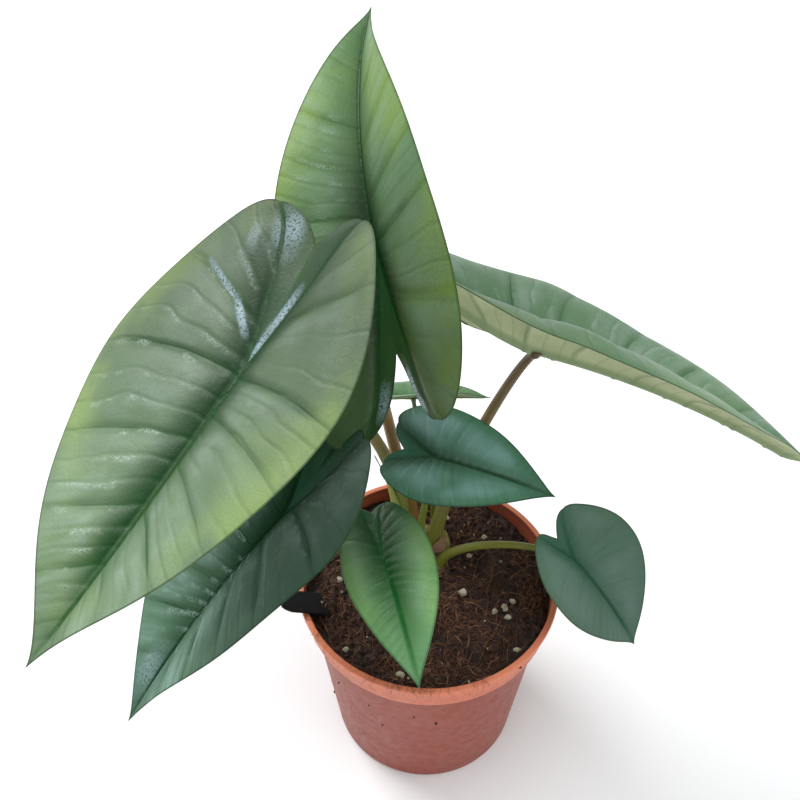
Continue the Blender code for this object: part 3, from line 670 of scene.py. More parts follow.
def blade_grids(leaf, along, across, inward):
    """The right half of the flat blade as two grids: one out to the margin, one in to the notch.
    Both start on the line from tip to join to lobe end, the line the main ribs follow."""
    def between(start, end, columns):
        share = np.linspace(0, 1, columns + 1)[None, :]
        return [a[:, None] * (1 - share) + b[:, None] * share for a, b in zip(start, end)]

    split = leaf["front"] / (leaf["front"] + leaf["lobe"])
    front_steps = round(along * split)
    u = np.concatenate([
        np.linspace(0, split, front_steps + 1),
        np.linspace(split, 1, along - front_steps + 1)[1:]])
    lobe = np.clip((u - split) / (1 - split), 0, 1)
    rib_y = np.where(u < split, leaf["front"] * (1 - u / split), -leaf["lobe"] * lobe)
    rib_x = rib_line(rib_y, leaf)
    outer = between((rib_x, rib_y), outer_margin(u ** MARGIN_LAG, leaf), across)
    t = lobe[front_steps:]
    q = np.clip((t - NOTCH_START) / (1 - NOTCH_START), 0, 1)
    notch_x, notch_y = inner_margin(1 - q, leaf)
    notch_y = np.where(t < NOTCH_START, -leaf["sinus"] * t / NOTCH_START, notch_y)
    inner = between((rib_x[front_steps:], rib_y[front_steps:]), (notch_x, notch_y), inward)
    return outer, inner


def vein_origin(x, y, leaf, sweep):
    """Where on the middle line the side vein through a point starts, as a share of the front."""
    out = np.abs(x) / leaf["half_width"]
    rise = leaf["half_width"] * (VEIN_SLOPE * out + sweep * out * out / 2)
    level = (y - rise) / leaf["front"]
    turn = np.where(level > 0, VEIN_TURN_FRONT, VEIN_TURN_BACK)
    return level / (1 + leaf["half_width"] / leaf["front"] * turn * out)


def vein_rows(x, y, leaf, places, sweep):
    """Running number of the side vein at a point, whole on a vein, and the spacing in metres."""
    def origin(dx, dy):
        return vein_origin(x + dx, y + dy, leaf, sweep)

    order = np.argsort(places)
    starts = np.array(places)[order]
    numbers = np.arange(len(places), dtype=float)[::-1]
    here = origin(0, 0)
    h = SLOPE_STEP
    slope_x = (origin(h, 0) - origin(-h, 0)) / (2 * h)
    slope_y = (origin(0, h) - origin(0, -h)) / (2 * h)
    steep = np.sqrt(slope_x ** 2 + slope_y ** 2) + 1e-6
    gap = np.interp(here, (starts[1:] + starts[:-1]) / 2, np.abs(np.diff(starts)))
    return np.interp(here, starts, numbers[order]), gap / steep


def distance_to_outline(x, y, leaf):
    out = np.stack(outer_margin(np.linspace(0, 1, 400) ** 1.3, leaf), -1)
    back = np.stack(inner_margin(np.linspace(0, 1, 160), leaf), -1)
    line = np.concatenate([out, back])
    points = np.stack([np.abs(x), y], -1)
    best = np.empty(len(points))
    for k in range(0, len(points), 2000):
        d = points[k:k + 2000, None, :] - line[None, :, :]
        best[k:k + 2000] = np.sqrt((d ** 2).sum(-1).min(1))
    return best


def blade_zones(name, x, y, leaf, seed):
    """Vein row, row spacing, distance to the main ribs and to the margin, and whether a point lies
    between the two lobe ribs, for flat points."""
    rng = random.Random(seed)
    row = np.empty(len(x))
    spacing = np.empty(len(x))
    usual = LARGE_VEINS if leaf["front"] > LARGE_FRONT else SMALL_VEINS
    jitter = 0.0 if name in VEINS else VEIN_JITTER
    for k, side in enumerate((1, -1)):
        places = VEINS.get(name, (usual, usual))[k]
        places = [p + rng.uniform(-jitter, jitter) + side * jitter for p in places]
        sweep = SWEEPS.get(name, (VEIN_SWEEP, VEIN_SWEEP))[k]
        on_side = x > 0 if side == 1 else x <= 0
        row[on_side], spacing[on_side] = vein_rows(x[on_side], y[on_side], leaf, places, sweep)
    h = SLOPE_STEP
    slope = (rib_line(y + h, leaf) - rib_line(y - h, leaf)) / (2 * h)
    gap = (rib_line(y, leaf) - np.abs(x)) / np.sqrt(1 + slope ** 2)
    rib = np.where(y > leaf["front"], np.hypot(x, y - leaf["front"]), np.abs(gap))
    plain = np.where(y < 0, smooth_step(gap, -0.2 * MM, 1.2 * MM), 0.0)
    return row, spacing, rib, distance_to_outline(x, y, leaf), plain


def blade_relief(row, spacing, rib, edge, plain, size, quilt):
    """Rise of both faces (quilting and hollows), and the ribs that stand out below. Lengths are
    for a blade of the usual size; size scales them, and quilt is the rise between the veins."""
    unit = MM * size
    bold = 1 - VEIN_VARIETY + VEIN_VARIETY * np.sin(VEIN_TURN * np.floor(row + 0.5))
    first = np.abs(row - np.round(row)) * spacing
    third = np.abs(row * MINOR_VEINS - np.round(row * MINOR_VEINS)) / MINOR_VEINS * spacing
    cushion = 1 - (1 - np.clip(first / np.maximum(spacing / 2, 1e-5), 0, 1)) ** 2.4
    inside = smooth_step(rib, 0, 11 * unit) * smooth_step(edge, 1.5 * unit, 16 * unit) * (1 - plain)
    cushions = quilt * cushion * inside * np.clip(spacing / (20 * unit), 0, 1.2)
    ripple = 0.08 * quilt * (1 - bell(third, 1.6 * MM)) * inside
    groove = 0.30 * quilt * bold * bell(first, 1.2 * unit) * inside
    main_groove = 0.70 * unit * bell(rib, 2.0 * unit) * smooth_step(edge, 0, 6 * unit)
    rise = cushions + ripple - groove - main_groove - 0.55 * quilt * inside
    fade = smooth_step(edge, 1.5 * MM, 9 * MM)
    ribs = 1.5 * unit * bell(rib, 1.3 * unit) * fade
    ribs = ribs + 0.40 * unit * bell(first, 0.8 * MM) * fade * (1 - plain)
    return rise, ribs + groove + main_groove


def blade_glints(x, y, name):
    """Painted glints: bright bands of reflection that lie along veins, for the leaves that carry them."""
    total = np.zeros(len(x))
    for ax, ay, bx, by, width, strength in PAINTED_GLINTS.get(name, ()):
        start = np.array([ax, ay]) * MM
        along = np.array([bx, by]) * MM - start
        points = np.stack([x, y], -1) - start
        t = np.clip(points @ along / (along @ along), 0, 1)
        away = np.linalg.norm(points - t[:, None] * along, axis=1)
        taper = np.sin(pi * np.clip(t * 0.9 + 0.05, 0, 1)) ** 0.6
        band = 1 - smooth_step(away, 0.35 * width * MM, width * MM)
        total = np.maximum(total, strength * taper * band)
    return total


# ---- blades

LARGE_GRID = (230, 74, 22)   # steps along the rib, out to the margin and in to the notch
SMALL_GRID = (130, 46, 14)
SAME_POINT = 0.0002 * MM     # flat points nearer than this are one
BEAD = 0.22 * MM             # how far the rounded margin stands out
THIN_EDGE = 0.45             # the margin's share of the full thickness
WAVE = 0.7 * MM              # height of the margin's slow waves
WAVE_COUNT = 2.3             # of them along a blade
WAVE_SHIFT = 1.3             # by which each side's waves are moved apart


def flat_sheet(leaf, grid):
    """The whole flat blade: its points, each once, and its faces."""
    flats, patches, start = [], [], 0
    for mirror in (1, -1):
        for xs, ys in blade_grids(leaf, *grid):
            flats.append(np.stack([mirror * xs.ravel(), ys.ravel()], -1))
            patches.append((start, *xs.shape))
            start += xs.size
    flat = np.concatenate(flats)
    keys = np.round(flat / SAME_POINT).astype(np.int64)
    _, keep, index = np.unique(keys, axis=0, return_index=True, return_inverse=True)
    index = index.ravel()
    faces = []
    for first, rows, columns in patches:
        grid = index[first:first + rows * columns].reshape(rows, columns)
        for i in range(rows - 1):
            for j in range(columns - 1):
                corners = (grid[i, j], grid[i, j + 1], grid[i + 1, j + 1], grid[i + 1, j])
                corners = tuple(dict.fromkeys(int(c) for c in corners))
                if len(corners) > 2:
                    faces.append(corners)
    return flat[keep, 0], flat[keep, 1], faces


def open_edges(faces):
    """The edges that only one face has, each with that face."""
    edges = {}
    for face in faces:
        for a, b in zip(face, face[1:] + face[:1]):
            edges.setdefault((min(a, b), max(a, b)), []).append((a, b, face))
    return [found[0] for found in edges.values() if len(found) == 1]


def build_blade(name, leaf, seed):
    """One blade: an upper and a lower sheet, closed by a rounded margin."""
    looks = BLADE_LOOKS[name]
    size = leaf["front"] / USUAL_FRONT
    large = leaf["front"] > LARGE_FRONT
    x, y, faces = flat_sheet(leaf, LARGE_GRID if large else SMALL_GRID)
    row, spacing, rib, edge, plain = blade_zones(name, x, y, leaf, seed)
    rise, ribs = blade_relief(row, spacing, rib, edge, plain, size, looks["quilt"] * MM)
    phase = WAVE_COUNT * 2 * pi * y / (leaf["front"] + leaf["lobe"])
    swell = np.sin(phase + seed + WAVE_SHIFT * np.sign(x))
    wave = WAVE * size * swell * (1 - smooth_step(edge, 0, 16 * MM * size))
    wave = wave * smooth_step(leaf["front"] - y, 0, 0.3 * leaf["front"])

    base = blade_points(x, y, leaf)
    h = 0.05 * MM
    across_x = blade_points(x + h, y, leaf) - blade_points(x - h, y, leaf)
    along_y = blade_points(x, y + h, leaf) - blade_points(x, y - h, leaf)
    normal = np.cross(across_x, along_y)
    normal /= np.linalg.norm(normal, axis=1)[:, None]
    normal *= np.sign(normal @ blade_frame(leaf)[2])[:, None]
    thick = BLADE_THICKNESS / 2 * (THIN_EDGE + (1 - THIN_EDGE) * smooth_step(edge, 0, 4 * MM))
    middle = base + normal * wave[:, None]
    top = middle + normal * (thick + rise)[:, None]
    bottom = middle - normal * (thick - rise + ribs)[:, None]

    margin = open_edges(faces)
    outward = np.zeros_like(base)
    for a, b, face in margin:
        push = np.cross(base[b] - base[a], normal[a])
        push *= np.sign(push @ (base[a] - base[list(face)].mean(0)))
        push /= np.linalg.norm(push) + 1e-12
        outward[a] += push
        outward[b] += push
    border = sorted({v for a, b, _ in margin for v in (a, b)})
    length = np.linalg.norm(outward[border], axis=1)[:, None] + 1e-9
    bead = middle[border] + outward[border] / length * BEAD + normal[border] * rise[border, None]
    count = len(base)
    on_bead = {v: 2 * count + k for k, v in enumerate(border)}
    all_faces = faces + [tuple(count + v for v in reversed(face)) for face in faces]
    for a, b, _ in margin:
        all_faces.append((a, b, on_bead[b], on_bead[a]))
        all_faces.append((on_bead[a], on_bead[b], count + b, count + a))

    def three(*values):
        """Vectors for the upper sheet, the lower sheet and the bead, from values on the sheet."""
        return np.stack([np.concatenate([v, v, v[border]]) for v in values], -1)

    side = np.concatenate([np.zeros(count), np.ones(count), np.full(len(border), 0.5)])
    attributes = {
        "flat": np.column_stack([three(x, y), side * 0.05 + 0.01 * seed]),
        "vein": three(row, spacing, rib),
        # the zone's second value marks the painted glints
        "zone": np.column_stack([three(edge, blade_glints(x, y, name)), side]),
        "plain": three(plain).ravel(),
    }
    material = blade_material(name + "_surface", looks, leaf["front"])
    vertices = np.concatenate([top, bottom, bead])
    piece = mesh_object(name + "_leaf", vertices, all_faces, material, attributes)
    place(piece, "silver_leaf" if large else "deep_leaf", name + "_blade")


# ---- stalks

STALK_SIDES = 28
STALK_STEPS = 90
STALK_REACH = 0.55 * MM      # how far a stalk runs on into the rib below its blade
STALK_END = 3                # steps over which it does so, and flares out
STALK_ROOT = 3 * MM          # how far it starts below the crown's top


def stalk_centre(leaf, t):
    """Middle line of a stalk, a Bezier curve from its foot (t = 0) to its neck (t = 1)."""
    normal = Vector(blade_frame(leaf)[2])
    approach = Vector(leaf["approach"])
    tilt = approach.cross(normal).length / approach.length
    foot = Vector((*leaf["base"], CROWN_TOP + GAP))
    neck = Vector(leaf["at"]) - normal * (BLADE_THICKNESS / 2 + 2 * GAP + leaf["neck"] * tilt)
    s = 1 - t
    return (foot * s ** 3 + (foot + Vector(leaf["lean"])) * 3 * s * s * t
            + (neck + approach) * 3 * s * t * t + neck * t ** 3)


def stalk_radius(leaf, t):
    return leaf["neck"] + (leaf["foot"] - leaf["neck"]) * (1 - t) ** STALK_TAPER


def stalk_material(name, looks):
    """Smooth stalk: colour runs from foot to neck, with fine long streaks and a few dark flecks."""
    g = Graph(name)
    along, around, _ = g.parts(g.attribute("stalk", "Vector"))
    streaks = g.noise(g.combine(along * 3.0, around * 9.0, 0.0), 3.0, 4, 0.6)
    flecks = g.noise(g.position(), 900, 2, 0.6)
    foot, middle, neck = (tone(*c) for c in looks)
    dark = tone(*(0.62 * c for c in looks[1]))
    light = tone(*(min(255, 1.16 * c + 8) for c in looks[0]))
    wander = along + (streaks - 0.5) * 0.16
    colour = g.layers(
        foot, (g.step(wander, 0.04, 0.42), middle), (g.step(wander, 0.50, 0.95), neck),
        (g.step(streaks, 0.54, 0.78, 0.0, 0.50), light),
        (g.step(streaks, 0.46, 0.24, 0.0, 0.50), dark),
        (g.step(flecks, 0.66, 0.74, 0.0, 0.55), dark))
    height = streaks * 0.8 + flecks * 0.12
    return g.finish(colour, g.step(streaks, 0.3, 0.7, 0.34, 0.48), g.bump(height, 0.3 * MM, 0.6))


def tube_rings(centres, radius_of, sides, first_side):
    """Rings of points round a line of centres, with the sides carried along without twisting."""
    rings = []
    side = Vector(first_side)
    last = len(centres) - 1
    for k, centre in enumerate(centres):
        ahead = (centres[min(k + 1, last)] - centres[max(k - 1, 0)]).normalized()
        side = (side - ahead * side.dot(ahead)).normalized()
        other = ahead.cross(side)
        for a in angles(sides):
            rings.append(centre + (side * cos(a) + other * sin(a)) * radius_of(k / last, a))
    return rings


def build_stalk(name, leaf):
    """A stalk that widens and grows a channel towards its foot and flares out under its blade.
    Fine ridges run along it, and it has a knuckle just below the blade."""
    up = Vector(blade_frame(leaf)[2])
    centres = [stalk_centre(leaf, k / STALK_STEPS) for k in range(STALK_STEPS + 1)]
    centres += [centres[-1] + up * STALK_REACH * k / STALK_END for k in range(1, STALK_END + 1)]
    centres = [centres[0] - Vector((0, 0, STALK_ROOT))] + centres
    count = len(centres)
    last = count - 1
    flare_start = STALK_STEPS - STALK_END

    def radius_of(t, a):
        s = min(max((t * last - 1) / STALK_STEPS, 0), 1)
        channel = 0.16 * exp(-((a - pi) / 0.55) ** 2) * (1 - s) ** 1.5
        ridges = 0.014 * sin(9 * a + 5 * s) + 0.008 * sin(15 * a - 3 * s)
        knuckle = 0.10 * exp(-((s - 0.985) / 0.02) ** 2)
        flare = 0.85 * max(0.0, (t * last - flare_start) / (last - flare_start)) ** 2
        return stalk_radius(leaf, s) * (1 - channel + ridges + knuckle + flare)

    rings = tube_rings(centres, radius_of, STALK_SIDES, (1, 0, 0))
    along = np.repeat(np.linspace(0, 1, count), STALK_SIDES)
    around = np.tile(np.abs(np.linspace(-1, 1, STALK_SIDES, endpoint=False)), count)
    stalk = np.stack([along, around, np.zeros_like(along)], -1)
    material = stalk_material(name + "_stalk_skin", STALK_LOOKS[name])
    faces = skin(count, STALK_SIDES, 0, caps=True)
    place(mesh_object(name + "_stalk", rings, faces, material, {"stalk": stalk}),
          "petiole", name + "_petiole")


# ---- crown and sheaths

def crown_material():
    g = Graph("crown_skin")
    position = g.position()
    fibre = g.noise(g.stretched(position, 1.0, 1.0, 0.25), 700, 4, 0.6)
    patch = g.noise(position, 120, 3, 0.5)
    colour = g.layers(srgb(96, 84, 44), (g.step(patch, 0.35, 0.65), srgb(134, 126, 62)),
                      (g.step(fibre, 0.5, 0.7, 0.0, 0.7), srgb(74, 52, 34)))
    return g.finish(colour, g.step(fibre, 0.3, 0.7, 0.5, 0.8), g.bump(fibre, 0.6 * MM, 0.8))


def build_crown():
    """The swollen stem base: a dome with the wrapped ridges of old leaf bases."""
    middle = (CROWN_LOW + CROWN_HIGH) / 2
    half = (CROWN_HIGH - CROWN_LOW) / 2
    sides, layers = 96, 34
    vertices = []
    for k in range(layers):
        t = k / (layers - 1)
        z = CROWN_LOW.z + (CROWN_TOP + 0.6 * MM - CROWN_LOW.z) * sin(t * pi / 2)
        wide = 1 - 0.93 * max(0.0, (t - 0.55) / 0.45) ** 2.2
        for a in angles(sides):
            fold = 0.045 * sin(5 * a + 7 * t) + 0.025 * sin(11 * a - 9 * t)
            scar = 0.03 * sin(26 * t + 2 * sin(2 * a))
            r = wide * (0.94 + fold + scar)
            vertices.append((middle.x + half.x * r * cos(a), middle.y + half.y * r * sin(a), z))
    faces = skin(layers, sides, 0, caps=True)
    place(mesh_object("stem_base", vertices, faces, crown_material()), "crown", "crown")


def sheath_material(name, base, tip, dark, roughness):
    g = Graph(name)
    level, around, _ = g.parts(g.attribute("sheath", "Vector"))
    ribs = g.noise(g.combine(level * 1.5, around * 14.0, 0.0), 2.6, 3, 0.55)
    fine = g.noise(g.position(), 1500, 2, 0.6)
    colour = g.layers(srgb(*base), (g.step(level, 0.2, 0.95), srgb(*tip)),
                      (g.step(ribs, 0.52, 0.72, 0.0, 0.55), srgb(*dark)),
                      (g.step(fine, 0.55, 0.75, 0.0, 0.30), srgb(*dark)))
    rough = g.step(fine, 0.3, 0.7, roughness, roughness + 0.12)
    return g.finish(colour, rough, g.bump(ribs + fine * 0.2, 0.4 * MM, 0.9))


def build_sheath(name, node, leaf, height, middle, spread, material, curl):
    """A thin pointed scale that clasps the foot of a stalk: height is its share of the stalk,
    middle and spread are degrees round it, and curl turns its edges out."""
    steps, sides = 44, 26
    inner, outer = [], []
    for k in range(steps + 1):
        level = k / steps
        centre = stalk_centre(leaf, level * height)
        centre.z = max(centre.z, CROWN_TOP + GAP) - (1.5 * MM if k == 0 else 0)
        half = radians(spread) / 2 * (1 - 0.93 * level ** 2)
        for i in range(sides + 1):
            c = 2 * i / sides - 1
            a = radians(middle) + half * c
            rib = 0.05 * MM * sin(16 * c + 2 * level) + 0.10 * MM * sin(5 * level + 3 * c)
            radius = stalk_radius(leaf, 0) + 2 * GAP + rib + curl * c * c * level
            thin = 0.55 * MM * (1 - 0.75 * abs(c) ** 3) * (1 - 0.5 * level)
            out = Vector(polar(1, a, 0))
            inner.append(centre + out * radius)
            outer.append(centre + out * (radius + thin))
    row = sides + 1
    count = len(inner)
    faces = []
    for k in range(steps):
        for i in range(sides):
            a, b = k * row + i, k * row + i + 1
            faces.append((a, b, b + row, a + row))
            faces.append((count + a, count + a + row, count + b + row, count + b))
        for a in (k * row, k * row + sides):
            faces.append((a, a + row, count + a + row, count + a))
    for i in range(sides):
        for a in (i, steps * row + i):
            faces.append((a, a + 1, count + a + 1, count + a))
    level = np.tile(np.repeat(np.linspace(0, 1, steps + 1), row), 2)
    around = np.tile(np.linspace(0, 1, row), 2 * (steps + 1))
    sheath = np.stack([level, around, np.zeros_like(level)], -1)
    place(mesh_object(name, inner + outer, faces, material, {"sheath": sheath}), node, node)


# ---- pot

POT_SEGMENTS = 224
POT_SQUEEZE = 0.0030         # how far the rim is from round, as a share of its radius


def wall_radius(z):
    """Outside of the pot's tapered wall: it steps out to the collar and stays there to the lip."""
    slope = (RIM_RADIUS - LIP_PROUD - COLLAR_STEP - BASE_RADIUS) / POT_HEIGHT
    step = COLLAR_STEP * smooth_step(z, COLLAR_FOOT - 0.4 * MM, COLLAR_FULL + 0.4 * MM)
    return BASE_RADIUS + slope * z + step


def arc(radius, z, bend, start, end, steps):
    """Points of (radius, z) on an arc, with angles in degrees from the +radius direction."""
    turns = [radians(start + (end - start) * k / steps) for k in range(steps + 1)]
    return [(radius + bend * cos(a), z + bend * sin(a)) for a in turns]


def pot_profile():
    def wall(start, end, count, inward=0.0):
        return [(wall_radius(z) - inward, z) for z in np.linspace(start, end, count)]

    foot = 2.0 * MM
    roll = 0.7 * MM
    lip_foot = POT_HEIGHT - LIP_HEIGHT
    wall_top = wall_radius(lip_foot)
    return [
        (0, 0), (0.5 * BASE_RADIUS, 0), (BASE_RADIUS - foot - 0.3 * MM, 0),
        *arc(wall_radius(foot) - foot, foot, foot, -88, -4, 8),
        *wall(foot + 1 * MM, COLLAR_FOOT - 1 * MM, 26),
        *wall(COLLAR_FOOT - 0.5 * MM, COLLAR_FULL + 0.5 * MM, 12),
        *wall(COLLAR_FULL + 1 * MM, lip_foot - 0.4 * MM, 8),
        (wall_top, lip_foot - 0.1 * MM), (wall_top + 0.25 * MM, lip_foot),
        *arc(RIM_RADIUS - roll, lip_foot + roll, roll, -80, 0, 5),
        *arc(RIM_RADIUS - roll, POT_HEIGHT - roll, roll, 0, 90, 6),
        *arc(wall_top - WALL + roll, POT_HEIGHT - roll, roll, 95, 180, 6),
        *wall(lip_foot - 1 * MM, COLLAR_FULL + 0.5 * MM, 6, WALL),
        *wall(COLLAR_FULL, COLLAR_FOOT - 0.5 * MM, 8, WALL),
        *wall(COLLAR_FOOT - 4 * MM, FLOOR_THICKNESS + 1.5 * MM, 8, WALL),
        (wall_radius(FLOOR_THICKNESS) - WALL - 0.8 * MM, FLOOR_THICKNESS), (0, FLOOR_THICKNESS)]


def pot_material():
    """Terracotta-coloured polypropylene: slightly mottled and scuffed, satin, with a thin film of
    dried dust, splashes of mix near the rim, and a darker, redder inside that is painted shade."""
    g = Graph("pot_plastic")
    position = g.position()
    x, y, z = g.parts(position)
    radius = g.math("SQRT", x * x + y * y)
    cloud = g.noise(position, 26, 3, 0.55)
    mottle = g.noise(position, 240, 4, 0.6)
    grain = g.noise(position, 1400, 2, 0.5)
    streaks = g.noise(g.stretched(position, 1.0, 1.0, 0.12), 300, 3, 0.6)
    scratches = g.noise(g.stretched(position, 1.0, 1.0, 9.0), 190, 2, 0.5)
    near_rim = g.step(z, COLLAR_FOOT + 6 * MM, POT_HEIGHT)
    dust = g.step(g.noise(position, 60, 5, 0.65), 0.50, 0.70)
    specks = g.step(g.cells(position, 210), 0.10, 0.05) * g.step(g.noise(position, 45, 2), 0.50, 0.62)
    # painted shade: the inner wall darker and redder
    inside = g.step(radius - z * 0.098, 47.5 * MM, 46.8 * MM)
    colour = g.layers(
        tone(208, 118, 90), (g.step(cloud, 0.35, 0.65), tone(216, 125, 94)),
        (g.step(mottle, 0.42, 0.70, 0.0, 0.32), tone(176, 100, 80)),
        (near_rim * 0.45, tone(240, 146, 110)), (dust * 0.30, tone(194, 152, 134)),
        (g.step(streaks, 0.62, 0.72, 0.0, 0.22), tone(156, 90, 74)),
        (specks * 0.75, tone(84, 48, 38)), (inside * 0.72, tone(118, 40, 26)))
    roughness = g.step(mottle, 0.3, 0.7, 0.40, 0.54) + g.step(scratches, 0.60, 0.68, 0.0, 0.10)
    height = grain * 0.35 + mottle * 0.5 + scratches * 0.25
    return g.finish(colour, roughness, g.bump(height, 0.16 * MM, 0.7), 0.45)


def build_pot():
    """The pot as one turned body, a trace out of round, with drain holes cut in its floor."""
    profile = pot_profile()
    vertices = [(0, 0, profile[0][1])]
    for radius, z in profile[1:-1]:
        for a in angles(POT_SEGMENTS):
            r = radius * (1 + POT_SQUEEZE * cos(2 * a + 0.6) * smooth_step(z, 0, POT_HEIGHT))
            vertices.append(polar(r, a, z))
    vertices.append((0, 0, profile[-1][1]))
    faces = turned_skin(len(profile) - 2, POT_SEGMENTS)
    pot = mesh_object("nursery_pot", vertices, faces, pot_material())
    pot.data.set_sharp_from_angle(angle=radians(50))
    bm = bmesh.new()
    for i in range(DRAIN_HOLES):
        a = 2 * pi * (i + 0.5) / DRAIN_HOLES
        made = bmesh.ops.create_cone(bm, cap_ends=True, segments=40, radius1=DRAIN_RADIUS,
                                     radius2=DRAIN_RADIUS, depth=6 * MM)
        bmesh.ops.translate(bm, verts=made["verts"], vec=polar(DRAIN_CIRCLE, a, 0))
    cutter_mesh = bpy.data.meshes.new("drain_hole_cutter")
    bm.to_mesh(cutter_mesh)
    bm.free()
    cutter = linked("drain_hole_cutter", cutter_mesh)
    cut = pot.modifiers.new("drain_holes", "BOOLEAN")
    cut.operation = "DIFFERENCE"
    cut.solver = "EXACT"
    cut.object = cutter
    bpy.context.view_layer.update()
    graph = bpy.context.evaluated_depsgraph_get()
    holed = bpy.data.meshes.new_from_object(pot.evaluated_get(graph))
    pot.modifiers.clear()
    pot.data = holed
    bpy.data.objects.remove(cutter)
    place(pot, "pot", "pot")


# ---- potting mix

HEAP_REACH = 48 * MM         # the small heap's distance from the pot's axis
HEAP_RADIUS = 7.5 * MM
HEAP_HEIGHT = 5.5 * MM
SOIL_INSET = 0.15 * MM       # between the mix and the wall
SOIL_RINGS = 120
SOIL_SIDES = 300
FIBRE_COUNT = 3400
FIBRE_MATS = 46
CRUMB_COUNT = 620
FINE_COUNT = 46              # fines are perlite dust
PERLITE_COUNT = 12
DIRT_COUNT = 46


def soil_edge(inset, z=SOIL_TOP):
    """The pot's inner radius at a height, less an inset."""
    return wall_radius(z) - WALL - inset


def soil_level(x, y):
    """Mean surface of the mix: long soft waves, a little higher in the middle, and a small heap
    over the pushed-in end of the stake."""
    r = min(hypot(x, y) / soil_edge(0), 1.0)
    waves = sin(140 * x + 1.0) * cos(120 * y + 0.4) + 0.6 * sin(260 * y - 170 * x)
    heap_x, heap_y = polar(HEAP_REACH, radians(STAKE_AZIMUTH))
    away = hypot(x - heap_x, y - heap_y) / HEAP_RADIUS
    heap = HEAP_HEIGHT * exp(-away * away)
    return SOIL_TOP + SOIL_BULGE * (1 - r * r) + SOIL_BUMP * waves * (1 - r ** 6) + heap


def soil_surface(x, y):
    """The lumpy surface: crumbs and hollows in three sizes on the mean surface."""
    spot = Vector((x, y, 0.013))
    coarse = noise.noise(spot * 95) * 1.5 * MM
    lumps = (1 - abs(noise.noise(spot * 230 + Vector((3, 1, 2))))) ** 3 * 1.9 * MM - 0.9 * MM
    fine = noise.noise(spot * 620) * 0.7 * MM
    return soil_level(x, y) + coarse + lumps + fine - 0.4 * MM


def scattered(rng, reach):
    """A random place within reach of the pot's axis."""
    radius = reach * sqrt(rng.random())
    return polar(radius, rng.uniform(0, 2 * pi))


def soil_material():
    """Damp peat and coir: near-black crumbs, reddish-brown fibre matter, a few pale specks."""
    g = Graph("mix_surface")
    position = g.position()
    clump = g.noise(position, 260, 5, 0.65)
    fibre = g.noise(g.stretched(position, 1.0, 0.35, 1.0), 900, 4, 0.7, 1.2)
    other = g.noise(g.stretched(position, 0.35, 1.0, 1.0), 1000, 4, 0.7, 1.2)
    strands = g.math("MAXIMUM", g.step(fibre, 0.58, 0.68), g.step(other, 0.60, 0.70))
    specks = g.step(g.cells(position, 330), 0.09, 0.04)
    colour = g.layers(srgb(30, 19, 16), (g.step(clump, 0.38, 0.66), srgb(64, 40, 30)),
                      (strands * 0.65, srgb(104, 66, 46)), (specks * 0.5, srgb(150, 132, 104)))
    damp = g.step(g.noise(position, 70, 2, 0.5), 0.4, 0.65, 0.62, 0.92)
    return g.finish(colour, damp, g.bump(clump + strands * 0.35, 0.9 * MM, 1.0), 0.35)


def build_soil():
    """The whole body of mix: a rough top, a side along the wall and a plain underside."""
    vertices = [(0, 0, soil_surface(0, 0))]
    for k in range(1, SOIL_RINGS + 1):
        radius = soil_edge(SOIL_INSET) * k / SOIL_RINGS
        for a in angles(SOIL_SIDES):
            x, y = polar(radius, a)
            z = soil_surface(x, y)
            if k == SOIL_RINGS:
                z = min(z, soil_level(x, y) - 0.3 * MM)
            vertices.append((x, y, z))
    levels = (COLLAR_FULL, COLLAR_FOOT - 0.6 * MM, 50 * MM, SOIL_BASE)
    for z in levels:
        radius = soil_edge(SOIL_INSET, z)
        vertices += [polar(radius, a, z) for a in angles(SOIL_SIDES)]
    vertices.append((0, 0, SOIL_BASE))
    faces = turned_skin(SOIL_RINGS + len(levels), SOIL_SIDES)
    place(mesh_object("potting_mix", vertices, faces, soil_material()), "soil", "soil")


def fibre_material():
    g = Graph("fibre_skin")
    shade = g.attribute("tone")
    along = g.noise(g.position(), 700, 3, 0.6)
    colour = g.layers(srgb(58, 32, 24), (g.step(shade, 0.0, 0.5), srgb(112, 68, 46)),
                      (g.step(shade, 0.55, 1.0), srgb(168, 122, 84)),
                      (g.step(along, 0.42, 0.66, 0.0, 0.55), srgb(60, 36, 27)))
    return g.finish(colour, g.step(along, 0.3, 0.7, 0.55, 0.8))


def add_strand(bits, x, y, heading, length, radius, rng):
    """One loose fibre: a thin four-sided tube that wanders over the mix."""
    steps = max(6, int(length / (1.6 * MM)))
    turn = rng.uniform(-1, 1) * 1.6
    lift = rng.uniform(0.1, 0.9) * MM
    shade = rng.random() ** 1.4
    centres = []
    for k in range(steps + 1):
        hump = lift * sin(pi * k / steps) + rng.uniform(-0.08, 0.08) * MM
        centres.append(Vector((x, y, soil_surface(x, y) + 0.15 * MM + hump)))
        x += cos(heading) * length / steps
        y += sin(heading) * length / steps
        heading += turn / steps + rng.uniform(-0.22, 0.22)

    def radius_of(t, a):
        return radius * (0.45 + 0.55 * sin(pi * min(max(t, 0.05), 0.95)))

    rings = tube_rings(centres, radius_of, 4, (0.3, 0.2, 1))
    bits.add(rings, skin(len(centres), 4, 0, caps=True), shade)


